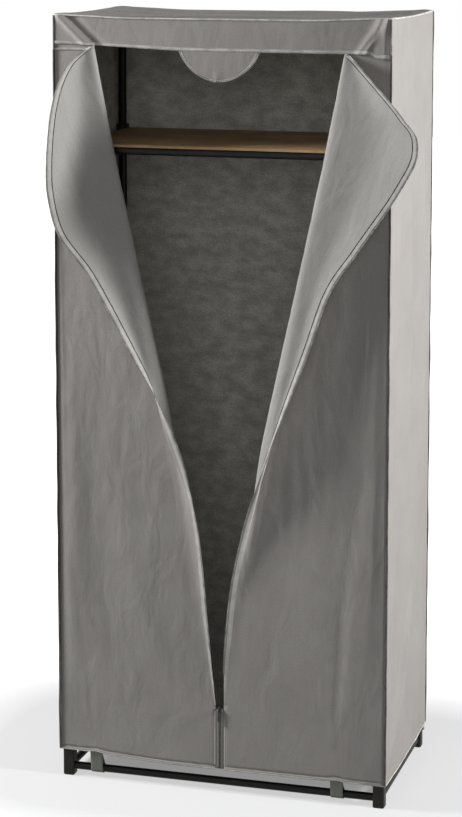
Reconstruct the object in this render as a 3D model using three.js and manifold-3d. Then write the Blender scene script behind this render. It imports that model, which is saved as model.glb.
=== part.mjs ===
// A portable fabric wardrobe. Steel tubes plug onto moulded connectors to make a light frame with one
// shelf and a hanging rail, and a sewn cloth cover hangs over it. The cover's front opens at a zip in
// the middle, and both halves of it are folded back. Millimetres, +Z up, front towards -Y.
import * as THREE from 'three';
import { mergeVertices } from 'three/addons/utils/BufferGeometryUtils.js';
import Module from 'manifold-3d';

const wasm = await Module();
wasm.setup();

// Driving dimensions of the cover
const COVER_WIDTH = 700;
const COVER_DEPTH = 400;
const COVER_HEIGHT = 1600;
const CLOTH = 1.5; // cover cloth with its lining
const HEM_HEIGHT = 50; // hem of the front and sides above the floor
const HEM_LIFT = 10; // the hem is drawn up at the front left corner, and comes down over this length
const HEM_LIFT_LENGTH = 270;
const BACK_HEM_HEIGHT = 33; // the back hangs lower, down to its base rail
const HEADER_HEIGHT = 70; // strip across the top of the front
const HEADER_RIGHT_DROP = 9; // its lower right corner sags, and the left one is pulled up
const HEADER_LEFT_LIFT = 11;
const HEADER_LIFT_LENGTH = 330; // over which that pull dies out
const HEADER_OVERLAP = 24; // how far the front panels reach up behind the header
const ROOF_FRONT_SAG = 9; // of the roof's long edges between the corners
const ROOF_SIDE_SAG = 2; // of its short edges
const ROOF_SAG = 5; // more than that, in the middle
const ROOF_SLOPE = 140; // the roof runs down from each corner over this length
const FLAP_WIDTH = 166; // half-round flap that covers the zip's top end
const FLAP_DROP = 61;
const STRAP_WIDTH = 26; // tie-down straps round the front base rail
const STRAP_CLOTH = 1.5;
const LEFT_STRAP_INSET = 79; // from the cover's side to the strap's middle
const RIGHT_STRAP_INSET = 103; // this one has slid along the rail
const STRAP_OVERLAP = 14; // sewn length behind the hem
const STRAP_APEX_DROP = 3; // below the hem, where the strap's two runs part

// Driving dimensions of the frame
const UPRIGHT_TUBE = 16;
const RAIL_TUBE = 13; // shelf rails and hanging rail
const TUBE_WALL = 0.8;
const BLOCK = 24; // width of every connector's block
const BLOCK_ROUND = 4;
const BLOCK_EDGE = 1.5; // softened edge where the block ends
const CORNER_RISE = 12; // the top connectors stand above the top rails, under the roof's corners
const FOOT_HEIGHT = 62;
const BASE_RAIL_HEIGHT = 19; // centre of the base rails above the floor
const SHELF_BLOCK_HEIGHT = 40;
const SPIGOT_LENGTH = 28;
const RIB = 2.4; // thickness of a spigot's cross ribs
const SPIGOT_TAPER = 1.4; // lead-in at a spigot's tip
const SPLICE_HEIGHT = 690; // where the lower and middle uprights meet
const SWAGE_LENGTH = 30; // drawn-in end that plugs into the tube below
const SWAGE_CONE = 4;
const SHELF_DROP = 262; // from the top of the cover down to the shelf board
const SHELF_THICKNESS = 5;
const SHELF_OVERHANG = 6; // beyond the middle of its front and back rails
const HANGING_RAIL_DROP = 22; // below the shelf rails
const BRACKET_WALL = 3;
const BRACKET_LENGTH = 18; // along the side rail that it clips over
const BRACKET_EDGE = 1;

// Clearances
const SEAT = 0.3; // between pieces that rest on, or are sewn to, each other
const COVER_EASE = 2.6; // between the cover and the connectors
const SHELF_EASE = 0.6; // between the shelf board and the connectors
const SLIDER_EASE = 0.3; // round the teeth, and between the pull and the bridge

// The folded-back front: where its fold starts under the header, and the zip that joins both halves
const LEFT_FOLD_TOP = 268; // from the middle of the front
const RIGHT_FOLD_TOP = 262;
const FOLD_BOTTOM_HEIGHT = 178;
const FOLD_ROLL = 4.5; // how far the cloth stands out where it rolls round the fold
const LEFT_FOLD_BULGE = 26; // more than that, at about a third of the way up
const RIGHT_FOLD_BULGE = 19;
const LEFT_LAPEL_REACH = 123; // from the fold out to the lapel's furthest point
const RIGHT_LAPEL_REACH = 186;
const LEFT_LAPEL_RISE = 90; // how far the lapel's edge stands in front of the panel at most
const RIGHT_LAPEL_RISE = 68;
const LAPEL_ENDS = 0.012; // share of the fold that both points of a lapel stop short of
const ZIP_TAPE_WIDTH = 18; // both tapes together
const ZIP_TAPE_CLOTH = 0.9;
const ZIP_TEETH_WIDTH = 2.2; // one row
const ZIP_TEETH_PROUD = 0.9; // in front of and behind the tape
const ZIP_SLOT = 1.7; // between the two rows, where the slider's post runs
const SLIDER_LENGTH = 13;
const SLIDER_WIDTH = 9;
const SLIDER_FOOT_WIDTH = 6.6;
const SLIDER_PLATE = 1.3;
const SLIDER_POST = 1; // joins both plates between the two rows of teeth
const SLIDER_POST_LENGTH = 4.5;
const PULL_LENGTH = 27;
const PULL_WIDTH = 8;
const PULL_NECK_WIDTH = 6.2;
const PULL_THICKNESS = 1.5;
const PULL_FRAME = 1.6; // bar of the pull's eye, held under the slider's bridge
const BRIDGE_THICKNESS = 1.4;
const BRIDGE_WIDTH = 2.2;

// Facets
const TUBE_SIDES = 16;
const ARC_STEPS = 10;

// Places that follow from these sizes
const halfWidth = COVER_WIDTH / 2;
const frontFace = -COVER_DEPTH / 2;
const backFace = COVER_DEPTH / 2;
const doorFace = frontFace + CLOTH + SEAT; // outer face of the two front panels
const doorInside = doorFace + CLOTH;
const innerHalfWidth = halfWidth - CLOTH - SEAT; // front, back and header fit between the sides
const underRoof = COVER_HEIGHT - CLOTH - SEAT;
const headerBottom = COVER_HEIGHT - HEADER_HEIGHT;
const uprightX = halfWidth - CLOTH - COVER_EASE - BLOCK / 2;
const uprightFrontY = doorInside + COVER_EASE + BLOCK / 2;
const uprightBackY = backFace - CLOTH - COVER_EASE - BLOCK / 2;
const shelfHeight = COVER_HEIGHT - SHELF_DROP;
const topRailHeight = underRoof - CORNER_RISE - UPRIGHT_TUBE / 2;
const topBlockHeight = CORNER_RISE + UPRIGHT_TUBE / 2 + BLOCK / 2;
const shelfRailHeight = shelfHeight - SHELF_THICKNESS - SEAT - RAIL_TUBE / 2;
const hangingRailHeight = shelfRailHeight - HANGING_RAIL_DROP;
const hangingRailY = (uprightFrontY + uprightBackY) / 2;

const X = new THREE.Vector3(1, 0, 0);
const Y = new THREE.Vector3(0, 1, 0);
const Z = new THREE.Vector3(0, 0, 1);

const finish = (color, roughness, metalness = 0) =>
  new THREE.MeshStandardMaterial({ color, roughness, metalness });
const paintedSteel = finish('#15130f', 0.35, 0.3);
const mouldedPlastic = finish('#1d1c1a', 0.5);
const boardWood = finish('#b98d58', 0.6);
const coverCloth = finish('#87827d', 0.85);
const roofCloth = finish('#8b8680', 0.85);
const liningCloth = finish('#4c4b46', 0.95);
const bindingTape = finish('#6f6d68', 0.8);
const zipMetal = finish('#3a3835', 0.35, 0.8);

const wardrobe = new THREE.Group();

function add(name, geometry, material, parent = wardrobe) {
  const mesh = new THREE.Mesh(geometry, material);
  mesh.name = name;
  parent.add(mesh);
  return mesh;
}

// Joins and cuts

function toSolid(geometry) {
  const bare = geometry.clone();
  bare.deleteAttribute('normal');
  bare.deleteAttribute('uv');
  const merged = mergeVertices(bare, 1e-4);
  return new wasm.Manifold(new wasm.Mesh({
    numProp: 3,
    vertProperties: new Float32Array(merged.attributes.position.array),
    triVerts: new Uint32Array(merged.index.array),
  }));
}

function fromSolid(solid) {
  const mesh = solid.getMesh();
  const geometry = new THREE.BufferGeometry();
  geometry.setAttribute('position', new THREE.BufferAttribute(mesh.vertProperties, 3));
  geometry.setIndex(new THREE.BufferAttribute(mesh.triVerts, 1));
  geometry.computeVertexNormals();
  return geometry;
}

function join(first, ...others) {
  return fromSolid(others.reduce((sum, other) => sum.add(toSolid(other)), toSolid(first)));
}

function cut(geometry, ...tools) {
  return fromSolid(tools.reduce((rest, tool) => rest.subtract(toSolid(tool)), toSolid(geometry)));
}

// Steel tubes: each is turned about its own axis, which then points from one end to the other

function along(geometry, axis) {
  return geometry.applyQuaternion(new THREE.Quaternion().setFromUnitVectors(Y, axis));
}

function plainTube(diameter, length) {
  const outer = diameter / 2;
  const inner = outer - TUBE_WALL;
  const wall = [[inner, 0], [outer, 0], [outer, length], [inner, length], [inner, 0]];
  return new THREE.LatheGeometry(wall.map(([r, h]) => new THREE.Vector2(r, h)), TUBE_SIDES);
}

// An upright whose lower end is drawn in, so that it plugs into the tube below it
function swagedTube(diameter, length) {
  const outer = diameter / 2;
  const inner = outer - TUBE_WALL;
  const neck = inner - SEAT;
  const bore = neck - TUBE_WALL;
  const wall = [
    [bore, -SWAGE_LENGTH], [neck, -SWAGE_LENGTH], [neck, 0], [outer, SWAGE_CONE], [outer, length],
    [inner, length], [inner, SWAGE_CONE], [bore, 0], [bore, -SWAGE_LENGTH],
  ];
  return new THREE.LatheGeometry(wall.map(([r, h]) => new THREE.Vector2(r, h)), TUBE_SIDES);
}

function addTube(name, geometry, axis, start) {
  add(name, along(geometry, axis), paintedSteel).position.copy(start);
}

// Moulded connectors: a block with a ribbed spigot towards each tube that it carries

function roundedSquare(size, radius) {
  const h = size / 2;
  const shape = new THREE.Shape();
  shape.moveTo(-h + radius, -h);
  shape.lineTo(h - radius, -h);
  shape.absarc(h - radius, -h + radius, radius, -Math.PI / 2, 0);
  shape.absarc(h - radius, h - radius, radius, 0, Math.PI / 2);
  shape.absarc(-h + radius, h - radius, radius, Math.PI / 2, Math.PI);
  shape.absarc(-h + radius, -h + radius, radius, Math.PI, 1.5 * Math.PI);
  return shape;
}

// The block stands on z = 0, with its end edges softened
function block(height) {
  return new THREE.ExtrudeGeometry(roundedSquare(BLOCK, BLOCK_ROUND), {
    depth: height - 2 * BLOCK_EDGE,
    bevelThickness: BLOCK_EDGE,
    bevelSize: BLOCK_EDGE,
    bevelOffset: -BLOCK_EDGE,
    bevelSegments: 1,
    curveSegments: 2,
  }).translate(0, 0, BLOCK_EDGE);
}

// A cross of two ribs that fills the tube's bore, with a tapered tip, pointing along the axis
function spigot(tubeDiameter, axis, centre) {
  const reach = tubeDiameter / 2 - TUBE_WALL - SEAT;
  const rib = RIB / 2;
  const cross = new THREE.Shape();
  cross.moveTo(-rib, -reach);
  for (const [x, y] of [
    [rib, -reach], [rib, -rib], [reach, -rib], [reach, rib], [rib, rib], [rib, reach],
    [-rib, reach], [-rib, rib], [-reach, rib], [-reach, -rib], [-rib, -rib],
  ]) cross.lineTo(x, y);
  const root = BLOCK / 2 - BLOCK_EDGE; // sunk into the block
  const straight = SPIGOT_LENGTH + BLOCK_EDGE - 2 * SPIGOT_TAPER;
  const shaft = new THREE.ExtrudeGeometry(cross, {
    depth: straight,
    bevelThickness: SPIGOT_TAPER,
    bevelSize: SPIGOT_TAPER / 2,
    bevelOffset: -SPIGOT_TAPER / 2,
    bevelSegments: 1,
  }).translate(0, 0, root + SPIGOT_TAPER);
  shaft.applyQuaternion(new THREE.Quaternion().setFromUnitVectors(Z, axis));
  return shaft.translate(centre.x, centre.y, centre.z);
}

const corners = [
  { name: 'front_left', sx: -1, sy: -1 },
  { name: 'front_right', sx: 1, sy: -1 },
  { name: 'back_left', sx: -1, sy: 1 },
  { name: 'back_right', sx: 1, sy: 1 },
].map((corner) => ({
  ...corner,
  x: corner.sx * uprightX,
  y: corner.sy < 0 ? uprightFrontY : uprightBackY,
  towardMiddle: X.clone().multiplyScalar(-corner.sx),
  towardOtherEnd: Y.clone().multiplyScalar(-corner.sy),
}));

for (const corner of corners) {
  const { name, x, y, towardMiddle, towardOtherEnd } = corner;
  const level = (z) => new THREE.Vector3(0, 0, z);

  const railLevel = level(BASE_RAIL_HEIGHT);
  const foot = join(
    block(FOOT_HEIGHT),
    spigot(UPRIGHT_TUBE, Z, level(FOOT_HEIGHT - BLOCK / 2)),
    spigot(UPRIGHT_TUBE, towardMiddle, railLevel),
    spigot(UPRIGHT_TUBE, towardOtherEnd, railLevel),
  );
  add(`${name}_foot_connector`, foot, mouldedPlastic).position.set(x, y, 0);

  const middle = level(SHELF_BLOCK_HEIGHT / 2);
  const shelfJoint = join(
    block(SHELF_BLOCK_HEIGHT),
    spigot(UPRIGHT_TUBE, Z, level(SHELF_BLOCK_HEIGHT - BLOCK / 2)),
    spigot(UPRIGHT_TUBE, Z.clone().negate(), level(BLOCK / 2)),
    spigot(RAIL_TUBE, towardMiddle, middle),
    spigot(RAIL_TUBE, towardOtherEnd, middle),
  );
  add(`${name}_shelf_connector`, shelfJoint, mouldedPlastic)
    .position.set(x, y, shelfRailHeight - SHELF_BLOCK_HEIGHT / 2);

  const topLevel = level(BLOCK / 2);
  const topJoint = join(
    block(topBlockHeight),
    spigot(UPRIGHT_TUBE, Z.clone().negate(), topLevel),
    spigot(UPRIGHT_TUBE, towardMiddle, topLevel),
    spigot(UPRIGHT_TUBE, towardOtherEnd, topLevel),
  );
  add(`${name}_top_connector`, topJoint, mouldedPlastic)
    .position.set(x, y, topRailHeight - BLOCK / 2);

  // Three uprights stand on each other and on the connectors
  const lowerStart = FOOT_HEIGHT + SEAT;
  const middleStart = SPLICE_HEIGHT + SEAT;
  const middleEnd = shelfRailHeight - SHELF_BLOCK_HEIGHT / 2 - SEAT;
  const upperStart = shelfRailHeight + SHELF_BLOCK_HEIGHT / 2 + SEAT;
  const upperEnd = topRailHeight - BLOCK / 2 - SEAT;
  const at = (z) => new THREE.Vector3(x, y, z);
  addTube(`${name}_lower_upright`, plainTube(UPRIGHT_TUBE, SPLICE_HEIGHT - lowerStart), Z, at(lowerStart));
  addTube(`${name}_middle_upright`, swagedTube(UPRIGHT_TUBE, middleEnd - middleStart), Z, at(middleStart));
  addTube(`${name}_upper_upright`, plainTube(UPRIGHT_TUBE, upperEnd - upperStart), Z, at(upperStart));
}

// Rails run between the blocks of two connectors at each level
const railOffset = BLOCK / 2 + SEAT;
const acrossLength = 2 * (uprightX - railOffset);
const endwaysLength = uprightBackY - uprightFrontY - 2 * railOffset;
const railLevels = [
  { level: 'base', tube: UPRIGHT_TUBE, z: BASE_RAIL_HEIGHT },
  { level: 'shelf', tube: RAIL_TUBE, z: shelfRailHeight },
  { level: 'top', tube: UPRIGHT_TUBE, z: topRailHeight },
];
for (const { level, tube, z } of railLevels) {
  for (const [side, y] of [['front', uprightFrontY], ['back', uprightBackY]]) {
    const start = new THREE.Vector3(-uprightX + railOffset, y, z);
    addTube(`${side}_${level}_rail`, plainTube(tube, acrossLength), X, start);
  }
  for (const [side, x] of [['left', -uprightX], ['right', uprightX]]) {
    const start = new THREE.Vector3(x, uprightFrontY + railOffset, z);
    addTube(`${side}_${level}_rail`, plainTube(tube, endwaysLength), Y, start);
  }
}

// The shelf board lies loose on the front and back shelf rails, between the connectors
const shelfHalf = uprightX - BLOCK / 2 - SHELF_EASE;
const shelfFront = uprightFrontY - SHELF_OVERHANG;
const shelfBack = uprightBackY + SHELF_OVERHANG;
const board = new THREE.BoxGeometry(2 * shelfHalf, shelfBack - shelfFront, SHELF_THICKNESS);
add('shelf_board', board, boardWood)
  .position.set(0, (shelfFront + shelfBack) / 2, shelfHeight - SHELF_THICKNESS / 2);

// Brackets clip over the side shelf rails and carry the hanging rail below them
const clipBore = RAIL_TUBE / 2 + SEAT;
const clipOuter = clipBore + BRACKET_WALL;
const hubDepth = HANGING_RAIL_DROP + RAIL_TUBE / 2 + BRACKET_WALL;

function hangingBracket(towardMiddle) {
  const outline = new THREE.Shape();
  outline.absarc(0, 0, clipOuter, 0, Math.PI);
  outline.lineTo(-clipOuter, -hubDepth + BLOCK_ROUND);
  outline.absarc(-clipOuter + BLOCK_ROUND, -hubDepth + BLOCK_ROUND, BLOCK_ROUND, Math.PI, 1.5 * Math.PI);
  outline.absarc(clipOuter - BLOCK_ROUND, -hubDepth + BLOCK_ROUND, BLOCK_ROUND, 1.5 * Math.PI, 2 * Math.PI);
  const railHole = new THREE.Path();
  railHole.absarc(0, 0, clipBore, 0, 2 * Math.PI);
  outline.holes.push(railHole);
  const clip = new THREE.ExtrudeGeometry(outline, {
    depth: BRACKET_LENGTH - 2 * BRACKET_EDGE,
    bevelThickness: BRACKET_EDGE,
    bevelSize: BRACKET_EDGE,
    bevelOffset: -BRACKET_EDGE,
    bevelSegments: 1,
    curveSegments: ARC_STEPS,
  }).translate(0, 0, -BRACKET_LENGTH / 2 + BRACKET_EDGE);
  clip.rotateX(Math.PI / 2);
  const hub = new THREE.Vector3((clipOuter - BLOCK / 2) * towardMiddle.x, 0, -HANGING_RAIL_DROP);
  return join(clip, spigot(RAIL_TUBE, towardMiddle, hub));
}

for (const [side, sx] of [['left', -1], ['right', 1]]) {
  const towardMiddle = X.clone().multiplyScalar(-sx);
  add(`${side}_hanging_rail_bracket`, hangingBracket(towardMiddle), mouldedPlastic)
    .position.set(sx * uprightX, hangingRailY, shelfRailHeight);
}
const hangingHalf = uprightX - clipOuter - SEAT;
addTube('hanging_rail', plainTube(RAIL_TUBE, 2 * hangingHalf), X,
  new THREE.Vector3(-hangingHalf, hangingRailY, hangingRailHeight));

// Cloth: a sheet between an outer and an inner face, closed along its rim

const spread = (from, to, steps) =>
  Array.from({ length: steps + 1 }, (_, i) => from + ((to - from) * i) / steps);
const lerp = THREE.MathUtils.lerp;
const smoothstep = THREE.MathUtils.smoothstep;

function clothSolid(across, rows, outer, inner) {
  const width = across.length;
  const size = width * rows.length;
  const positions = [outer, inner].flatMap((face) =>
    rows.flatMap((v) => across.flatMap((u) => face(u, v).toArray())));
  const index = [];
  const quad = (a, b, c, d) => index.push(a, b, c, a, c, d);
  const rim = [];
  for (let j = 0; j + 1 < rows.length; j++) {
    for (let i = 0; i + 1 < width; i++) {
      const a = j * width + i;
      quad(a, a + 1, a + 1 + width, a + width);
      quad(size + a, size + a + width, size + a + 1 + width, size + a + 1);
    }
  }
  for (let i = 0; i + 1 < width; i++) rim.push([i + 1, i], [size - width + i, size - width + i + 1]);
  for (let j = 0; j + 1 < rows.length; j++) {
    rim.push([j * width, (j + 1) * width], [(j + 2) * width - 1, (j + 1) * width - 1]);
  }
  for (const [a, b] of rim) quad(a, b, size + b, size + a);
  const geometry = new THREE.BufferGeometry();
  geometry.setAttribute('position', new THREE.Float32BufferAttribute(positions, 3));
  geometry.setIndex(facingOut(positions, index));
  geometry.computeVertexNormals();
  return geometry;
}

// Turns every triangle round if the faces point into the cloth
function facingOut(positions, index) {
  let volume = 0;
  const point = (i) => new THREE.Vector3().fromArray(positions, 3 * i);
  for (let i = 0; i < index.length; i += 3) {
    volume += point(index[i]).cross(point(index[i + 1])).dot(point(index[i + 2]));
  }
  return volume > 0 ? index : index.toReversed();
}

// A soft fold is a long ridge between two places on the panel, given as shares of its width and
// height. It rises proud of the panel (a negative rise is a hollow) and dies out at both ends.
const FOLD_FADE = 45; // a panel lies flat this close to its seams

function foldRise(folds, width, height, u, v) {
  const p = new THREE.Vector2(u * width, v * height);
  let rise = 0;
  for (const fold of folds) {
    const from = new THREE.Vector2(fold.from[0] * width, fold.from[1] * height);
    const run = new THREE.Vector2(fold.to[0] * width, fold.to[1] * height).sub(from);
    const away = p.clone().sub(from);
    const t = THREE.MathUtils.clamp(away.dot(run) / run.lengthSq(), 0, 1);
    const aside = away.sub(run.multiplyScalar(t)).length();
    rise += fold.rise * Math.sin(Math.PI * t) * Math.exp(-((aside / fold.spread) ** 2));
  }
  const edge = Math.min(u * width, (1 - u) * width, v * height, (1 - v) * height);
  return rise * smoothstep(edge, 0, FOLD_FADE);
}

// Roof: it is held up by the four top connectors, and sags along its edges between them and a
// little more in the middle. The tops of the header, sides and back follow its edge.
const cornerFlat = uprightFrontY + BLOCK / 2 - frontFace + SEAT;

function roofDrape(x, y) {
  const away = (gap) => smoothstep(gap, cornerFlat, cornerFlat + ROOF_SLOPE);
  const fromSide = away(halfWidth - Math.abs(x));
  const fromEnd = away(backFace - Math.abs(y));
  return ROOF_FRONT_SAG * fromSide + ROOF_SIDE_SAG * fromEnd + ROOF_SAG * fromSide * fromEnd;
}

// Shares of a length with rows of points down both corner slopes and some more between them
function cornerStations(length, middleSteps) {
  const slope = spread(cornerFlat, cornerFlat + ROOF_SLOPE, 5);
  const middle = spread(cornerFlat + ROOF_SLOPE, length - cornerFlat - ROOF_SLOPE, middleSteps);
  const places = [0, ...slope, ...middle.slice(1, -1), ...slope.map((s) => length - s).reverse(), length];
  return places.map((place) => place / length);
}

const acrossStations = cornerStations(COVER_WIDTH, 4);
const deepStations = cornerStations(COVER_DEPTH, 2);
const roofEdge = (x, y) => underRoof - roofDrape(x, y);
const roofPoint = (thickness) => (u, v) => {
  const x = lerp(-halfWidth, halfWidth, u);
  const y = lerp(frontFace, backFace, v);
  return new THREE.Vector3(x, y, COVER_HEIGHT - thickness - roofDrape(x, y));
};
add('roof_panel', clothSolid(acrossStations, deepStations, roofPoint(0), roofPoint(CLOTH)), roofCloth);

// The hem's height, this far from the front left corner along the cover
const hemHeight = (fromCorner) =>
  HEM_HEIGHT + HEM_LIFT * (1 - smoothstep(fromCorner, 0, HEM_LIFT_LENGTH));

// Side panels, with the pull of the straps as slanting folds near their lower front corner
const sideFolds = [
  { from: [0.16, 0.34], to: [0.06, 0.0], rise: 3.5, spread: 16 },
  { from: [0.34, 0.3], to: [0.12, 0.0], rise: -2.5, spread: 22 },
  { from: [0.45, 0.4], to: [0.4, 0.03], rise: 2.5, spread: 34 },
  { from: [0.7, 0.95], to: [0.78, 0.2], rise: 3, spread: 40 },
];
for (const [side, sx] of [['left', -1], ['right', 1]]) {
  const sidePoint = (inset) => (u, v) => {
    const y = lerp(frontFace, backFace, u);
    const hem = hemHeight(sx < 0 ? u * COVER_DEPTH : Infinity);
    const swell = foldRise(sideFolds, COVER_DEPTH, underRoof - HEM_HEIGHT, u, v);
    return new THREE.Vector3(
      sx * (halfWidth - inset + swell), y, lerp(hem, roofEdge(halfWidth, y), v));
  };
  add(`${side}_side_panel`, clothSolid(deepStations, spread(0, 1, 12), sidePoint(0), sidePoint(CLOTH)),
    coverCloth);
}

// Back panel, hanging straight between the sides
const backFolds = [
  { from: [0.2, 0.95], to: [0.24, 0.05], rise: 2.5, spread: 45 },
  { from: [0.55, 0.9], to: [0.5, 0.1], rise: -2, spread: 60 },
  { from: [0.8, 0.9], to: [0.82, 0.05], rise: 2.5, spread: 45 },
];
const backPoint = (inset) => (u, v) => {
  const x = lerp(-innerHalfWidth, innerHalfWidth, u);
  const swell = foldRise(backFolds, 2 * innerHalfWidth, underRoof - BACK_HEM_HEIGHT, u, v);
  return new THREE.Vector3(x, backFace - inset + swell, lerp(BACK_HEM_HEIGHT, roofEdge(x, backFace), v));
};
const backStations = acrossStations.map((u) =>
  THREE.MathUtils.clamp((lerp(-halfWidth, halfWidth, u) + innerHalfWidth) / (2 * innerHalfWidth), 0, 1));
add('back_panel', clothSolid(backStations, spread(0, 1, 8), backPoint(0), backPoint(CLOTH)),
  liningCloth);

// Header: it hangs in front of the front panels, creased towards both corners
const headerCreases = [
  { top: 8, foot: 66, rise: 3.5, spread: 11 },
  { top: 2 * innerHalfWidth - 14, foot: 2 * innerHalfWidth - 58, rise: 3.5, spread: 10 },
  { top: 2 * innerHalfWidth - 20, foot: 2 * innerHalfWidth - 20, rise: 2.5, spread: 10 },
];
// How far the header's lower edge is drawn up, this far from its left end
const headerPull = (place) =>
  HEADER_LEFT_LIFT * (1 - smoothstep(place, 0, HEADER_LIFT_LENGTH))
  - HEADER_RIGHT_DROP * smoothstep(place, 2 * innerHalfWidth - 45, 2 * innerHalfWidth - 22);
const headerPoint = (inset) => (u, v) => {
  const width = 2 * innerHalfWidth;
  const x = lerp(-innerHalfWidth, innerHalfWidth, u);
  let proud = 0;
  for (const { top, foot, rise, spread: reach } of headerCreases) {
    proud += rise * Math.exp(-(((u * width - lerp(foot, top, v)) / reach) ** 2));
  }
  const edge = Math.min(u, 1 - u) * width;
  return new THREE.Vector3(
    x,
    frontFace + inset - proud * smoothstep(edge, 0, 12),
    lerp(headerBottom + headerPull(u * width), roofEdge(x, frontFace), v),
  );
};
const headerEdgeGap = halfWidth - innerHalfWidth;
const headerStep = (cornerFlat - headerEdgeGap) / 3;
const headerSlopeEnd = cornerFlat - headerEdgeGap + ROOF_SLOPE;
const creaseStations = [
  headerStep, 2 * headerStep, ...spread(cornerFlat - headerEdgeGap, headerSlopeEnd, 10),
];
const headerStations = [
  0, ...creaseStations,
  ...spread(headerSlopeEnd, 2 * innerHalfWidth - headerSlopeEnd, 5).slice(1, -1),
  ...creaseStations.map((s) => 2 * innerHalfWidth - s).reverse(), 2 * innerHalfWidth,
].map((place) => place / (2 * innerHalfWidth));
add('front_header', clothSolid(headerStations, spread(0, 1, 4), headerPoint(0), headerPoint(CLOTH)),
  coverCloth);

// Half-round flap, sewn to the header's lower edge
const flap = new THREE.Shape();
flap.moveTo(-FLAP_WIDTH / 2, 0);
flap.bezierCurveTo(
  -FLAP_WIDTH * 0.455, -FLAP_DROP * 0.45, -FLAP_WIDTH * 0.235, -FLAP_DROP, 0, -FLAP_DROP);
flap.bezierCurveTo(
  FLAP_WIDTH * 0.235, -FLAP_DROP, FLAP_WIDTH * 0.455, -FLAP_DROP * 0.45, FLAP_WIDTH / 2, 0);
const flapCloth = new THREE.ExtrudeGeometry(flap, {
  depth: CLOTH, bevelEnabled: false, curveSegments: ARC_STEPS,
}).rotateX(Math.PI / 2);
add('header_flap', flapCloth, coverCloth).position.set(0, frontFace + CLOTH, headerBottom - SEAT);

// Front panels and lapels. The fold runs from the header down to the zip's slider, and everything
// between it and the zip edge is folded back as a lapel, which curls forward at its free edge.
// A point of the zip edge is [share of the way up the fold, across towards the middle as a share of
// the lapel's reach, proud as a share of its rise].
const doors = [
  {
    side: 'left',
    sx: -1,
    foldTop: LEFT_FOLD_TOP,
    bulge: LEFT_FOLD_BULGE,
    reach: LEFT_LAPEL_REACH,
    rise: LEFT_LAPEL_RISE,
    edge: [
      [0, 0, 0], [0.1, 0.13, 0.16], [0.27, 0.37, 0.47], [0.36, 0.37, 0.53], [0.44, 0.21, 0.49],
      [0.55, -0.2, 0.47], [0.67, -0.63, 0.6], [0.75, -1, 0.78], [0.8, -0.98, 0.93],
      [0.84, -0.89, 1], [0.91, -0.68, 0.93], [0.97, -0.41, 0.53], [1, 0, 0],
    ],
  },
  {
    side: 'right',
    sx: 1,
    foldTop: RIGHT_FOLD_TOP,
    bulge: RIGHT_FOLD_BULGE,
    reach: RIGHT_LAPEL_REACH,
    rise: RIGHT_LAPEL_RISE,
    edge: [
      [0, 0, 0], [0.1, 0.1, 0.21], [0.19, 0.13, 0.5], [0.29, 0.11, 0.68], [0.36, 0.02, 0.62],
      [0.45, -0.06, 0.53], [0.57, -0.22, 0.47], [0.65, -0.31, 0.49], [0.73, -0.55, 0.56],
      [0.83, -0.88, 0.76], [0.885, -1, 0.99], [0.902, -0.98, 1], [0.93, -0.78, 0.88],
      [0.975, -0.3, 0.4], [1, 0, 0],
    ],
  },
];
const zipHalf = ZIP_TAPE_WIDTH / 2;
const doorTop = headerBottom + HEADER_OVERLAP;
const doorFolds = [
  { from: [0.16, 0.62], to: [0.1, 0.05], rise: 3, spread: 26 },
  { from: [0.34, 0.5], to: [0.36, 0.02], rise: -2, spread: 40 },
  { from: [0.62, 0.33], to: [0.6, 0.02], rise: 2, spread: 34 },
];

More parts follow.
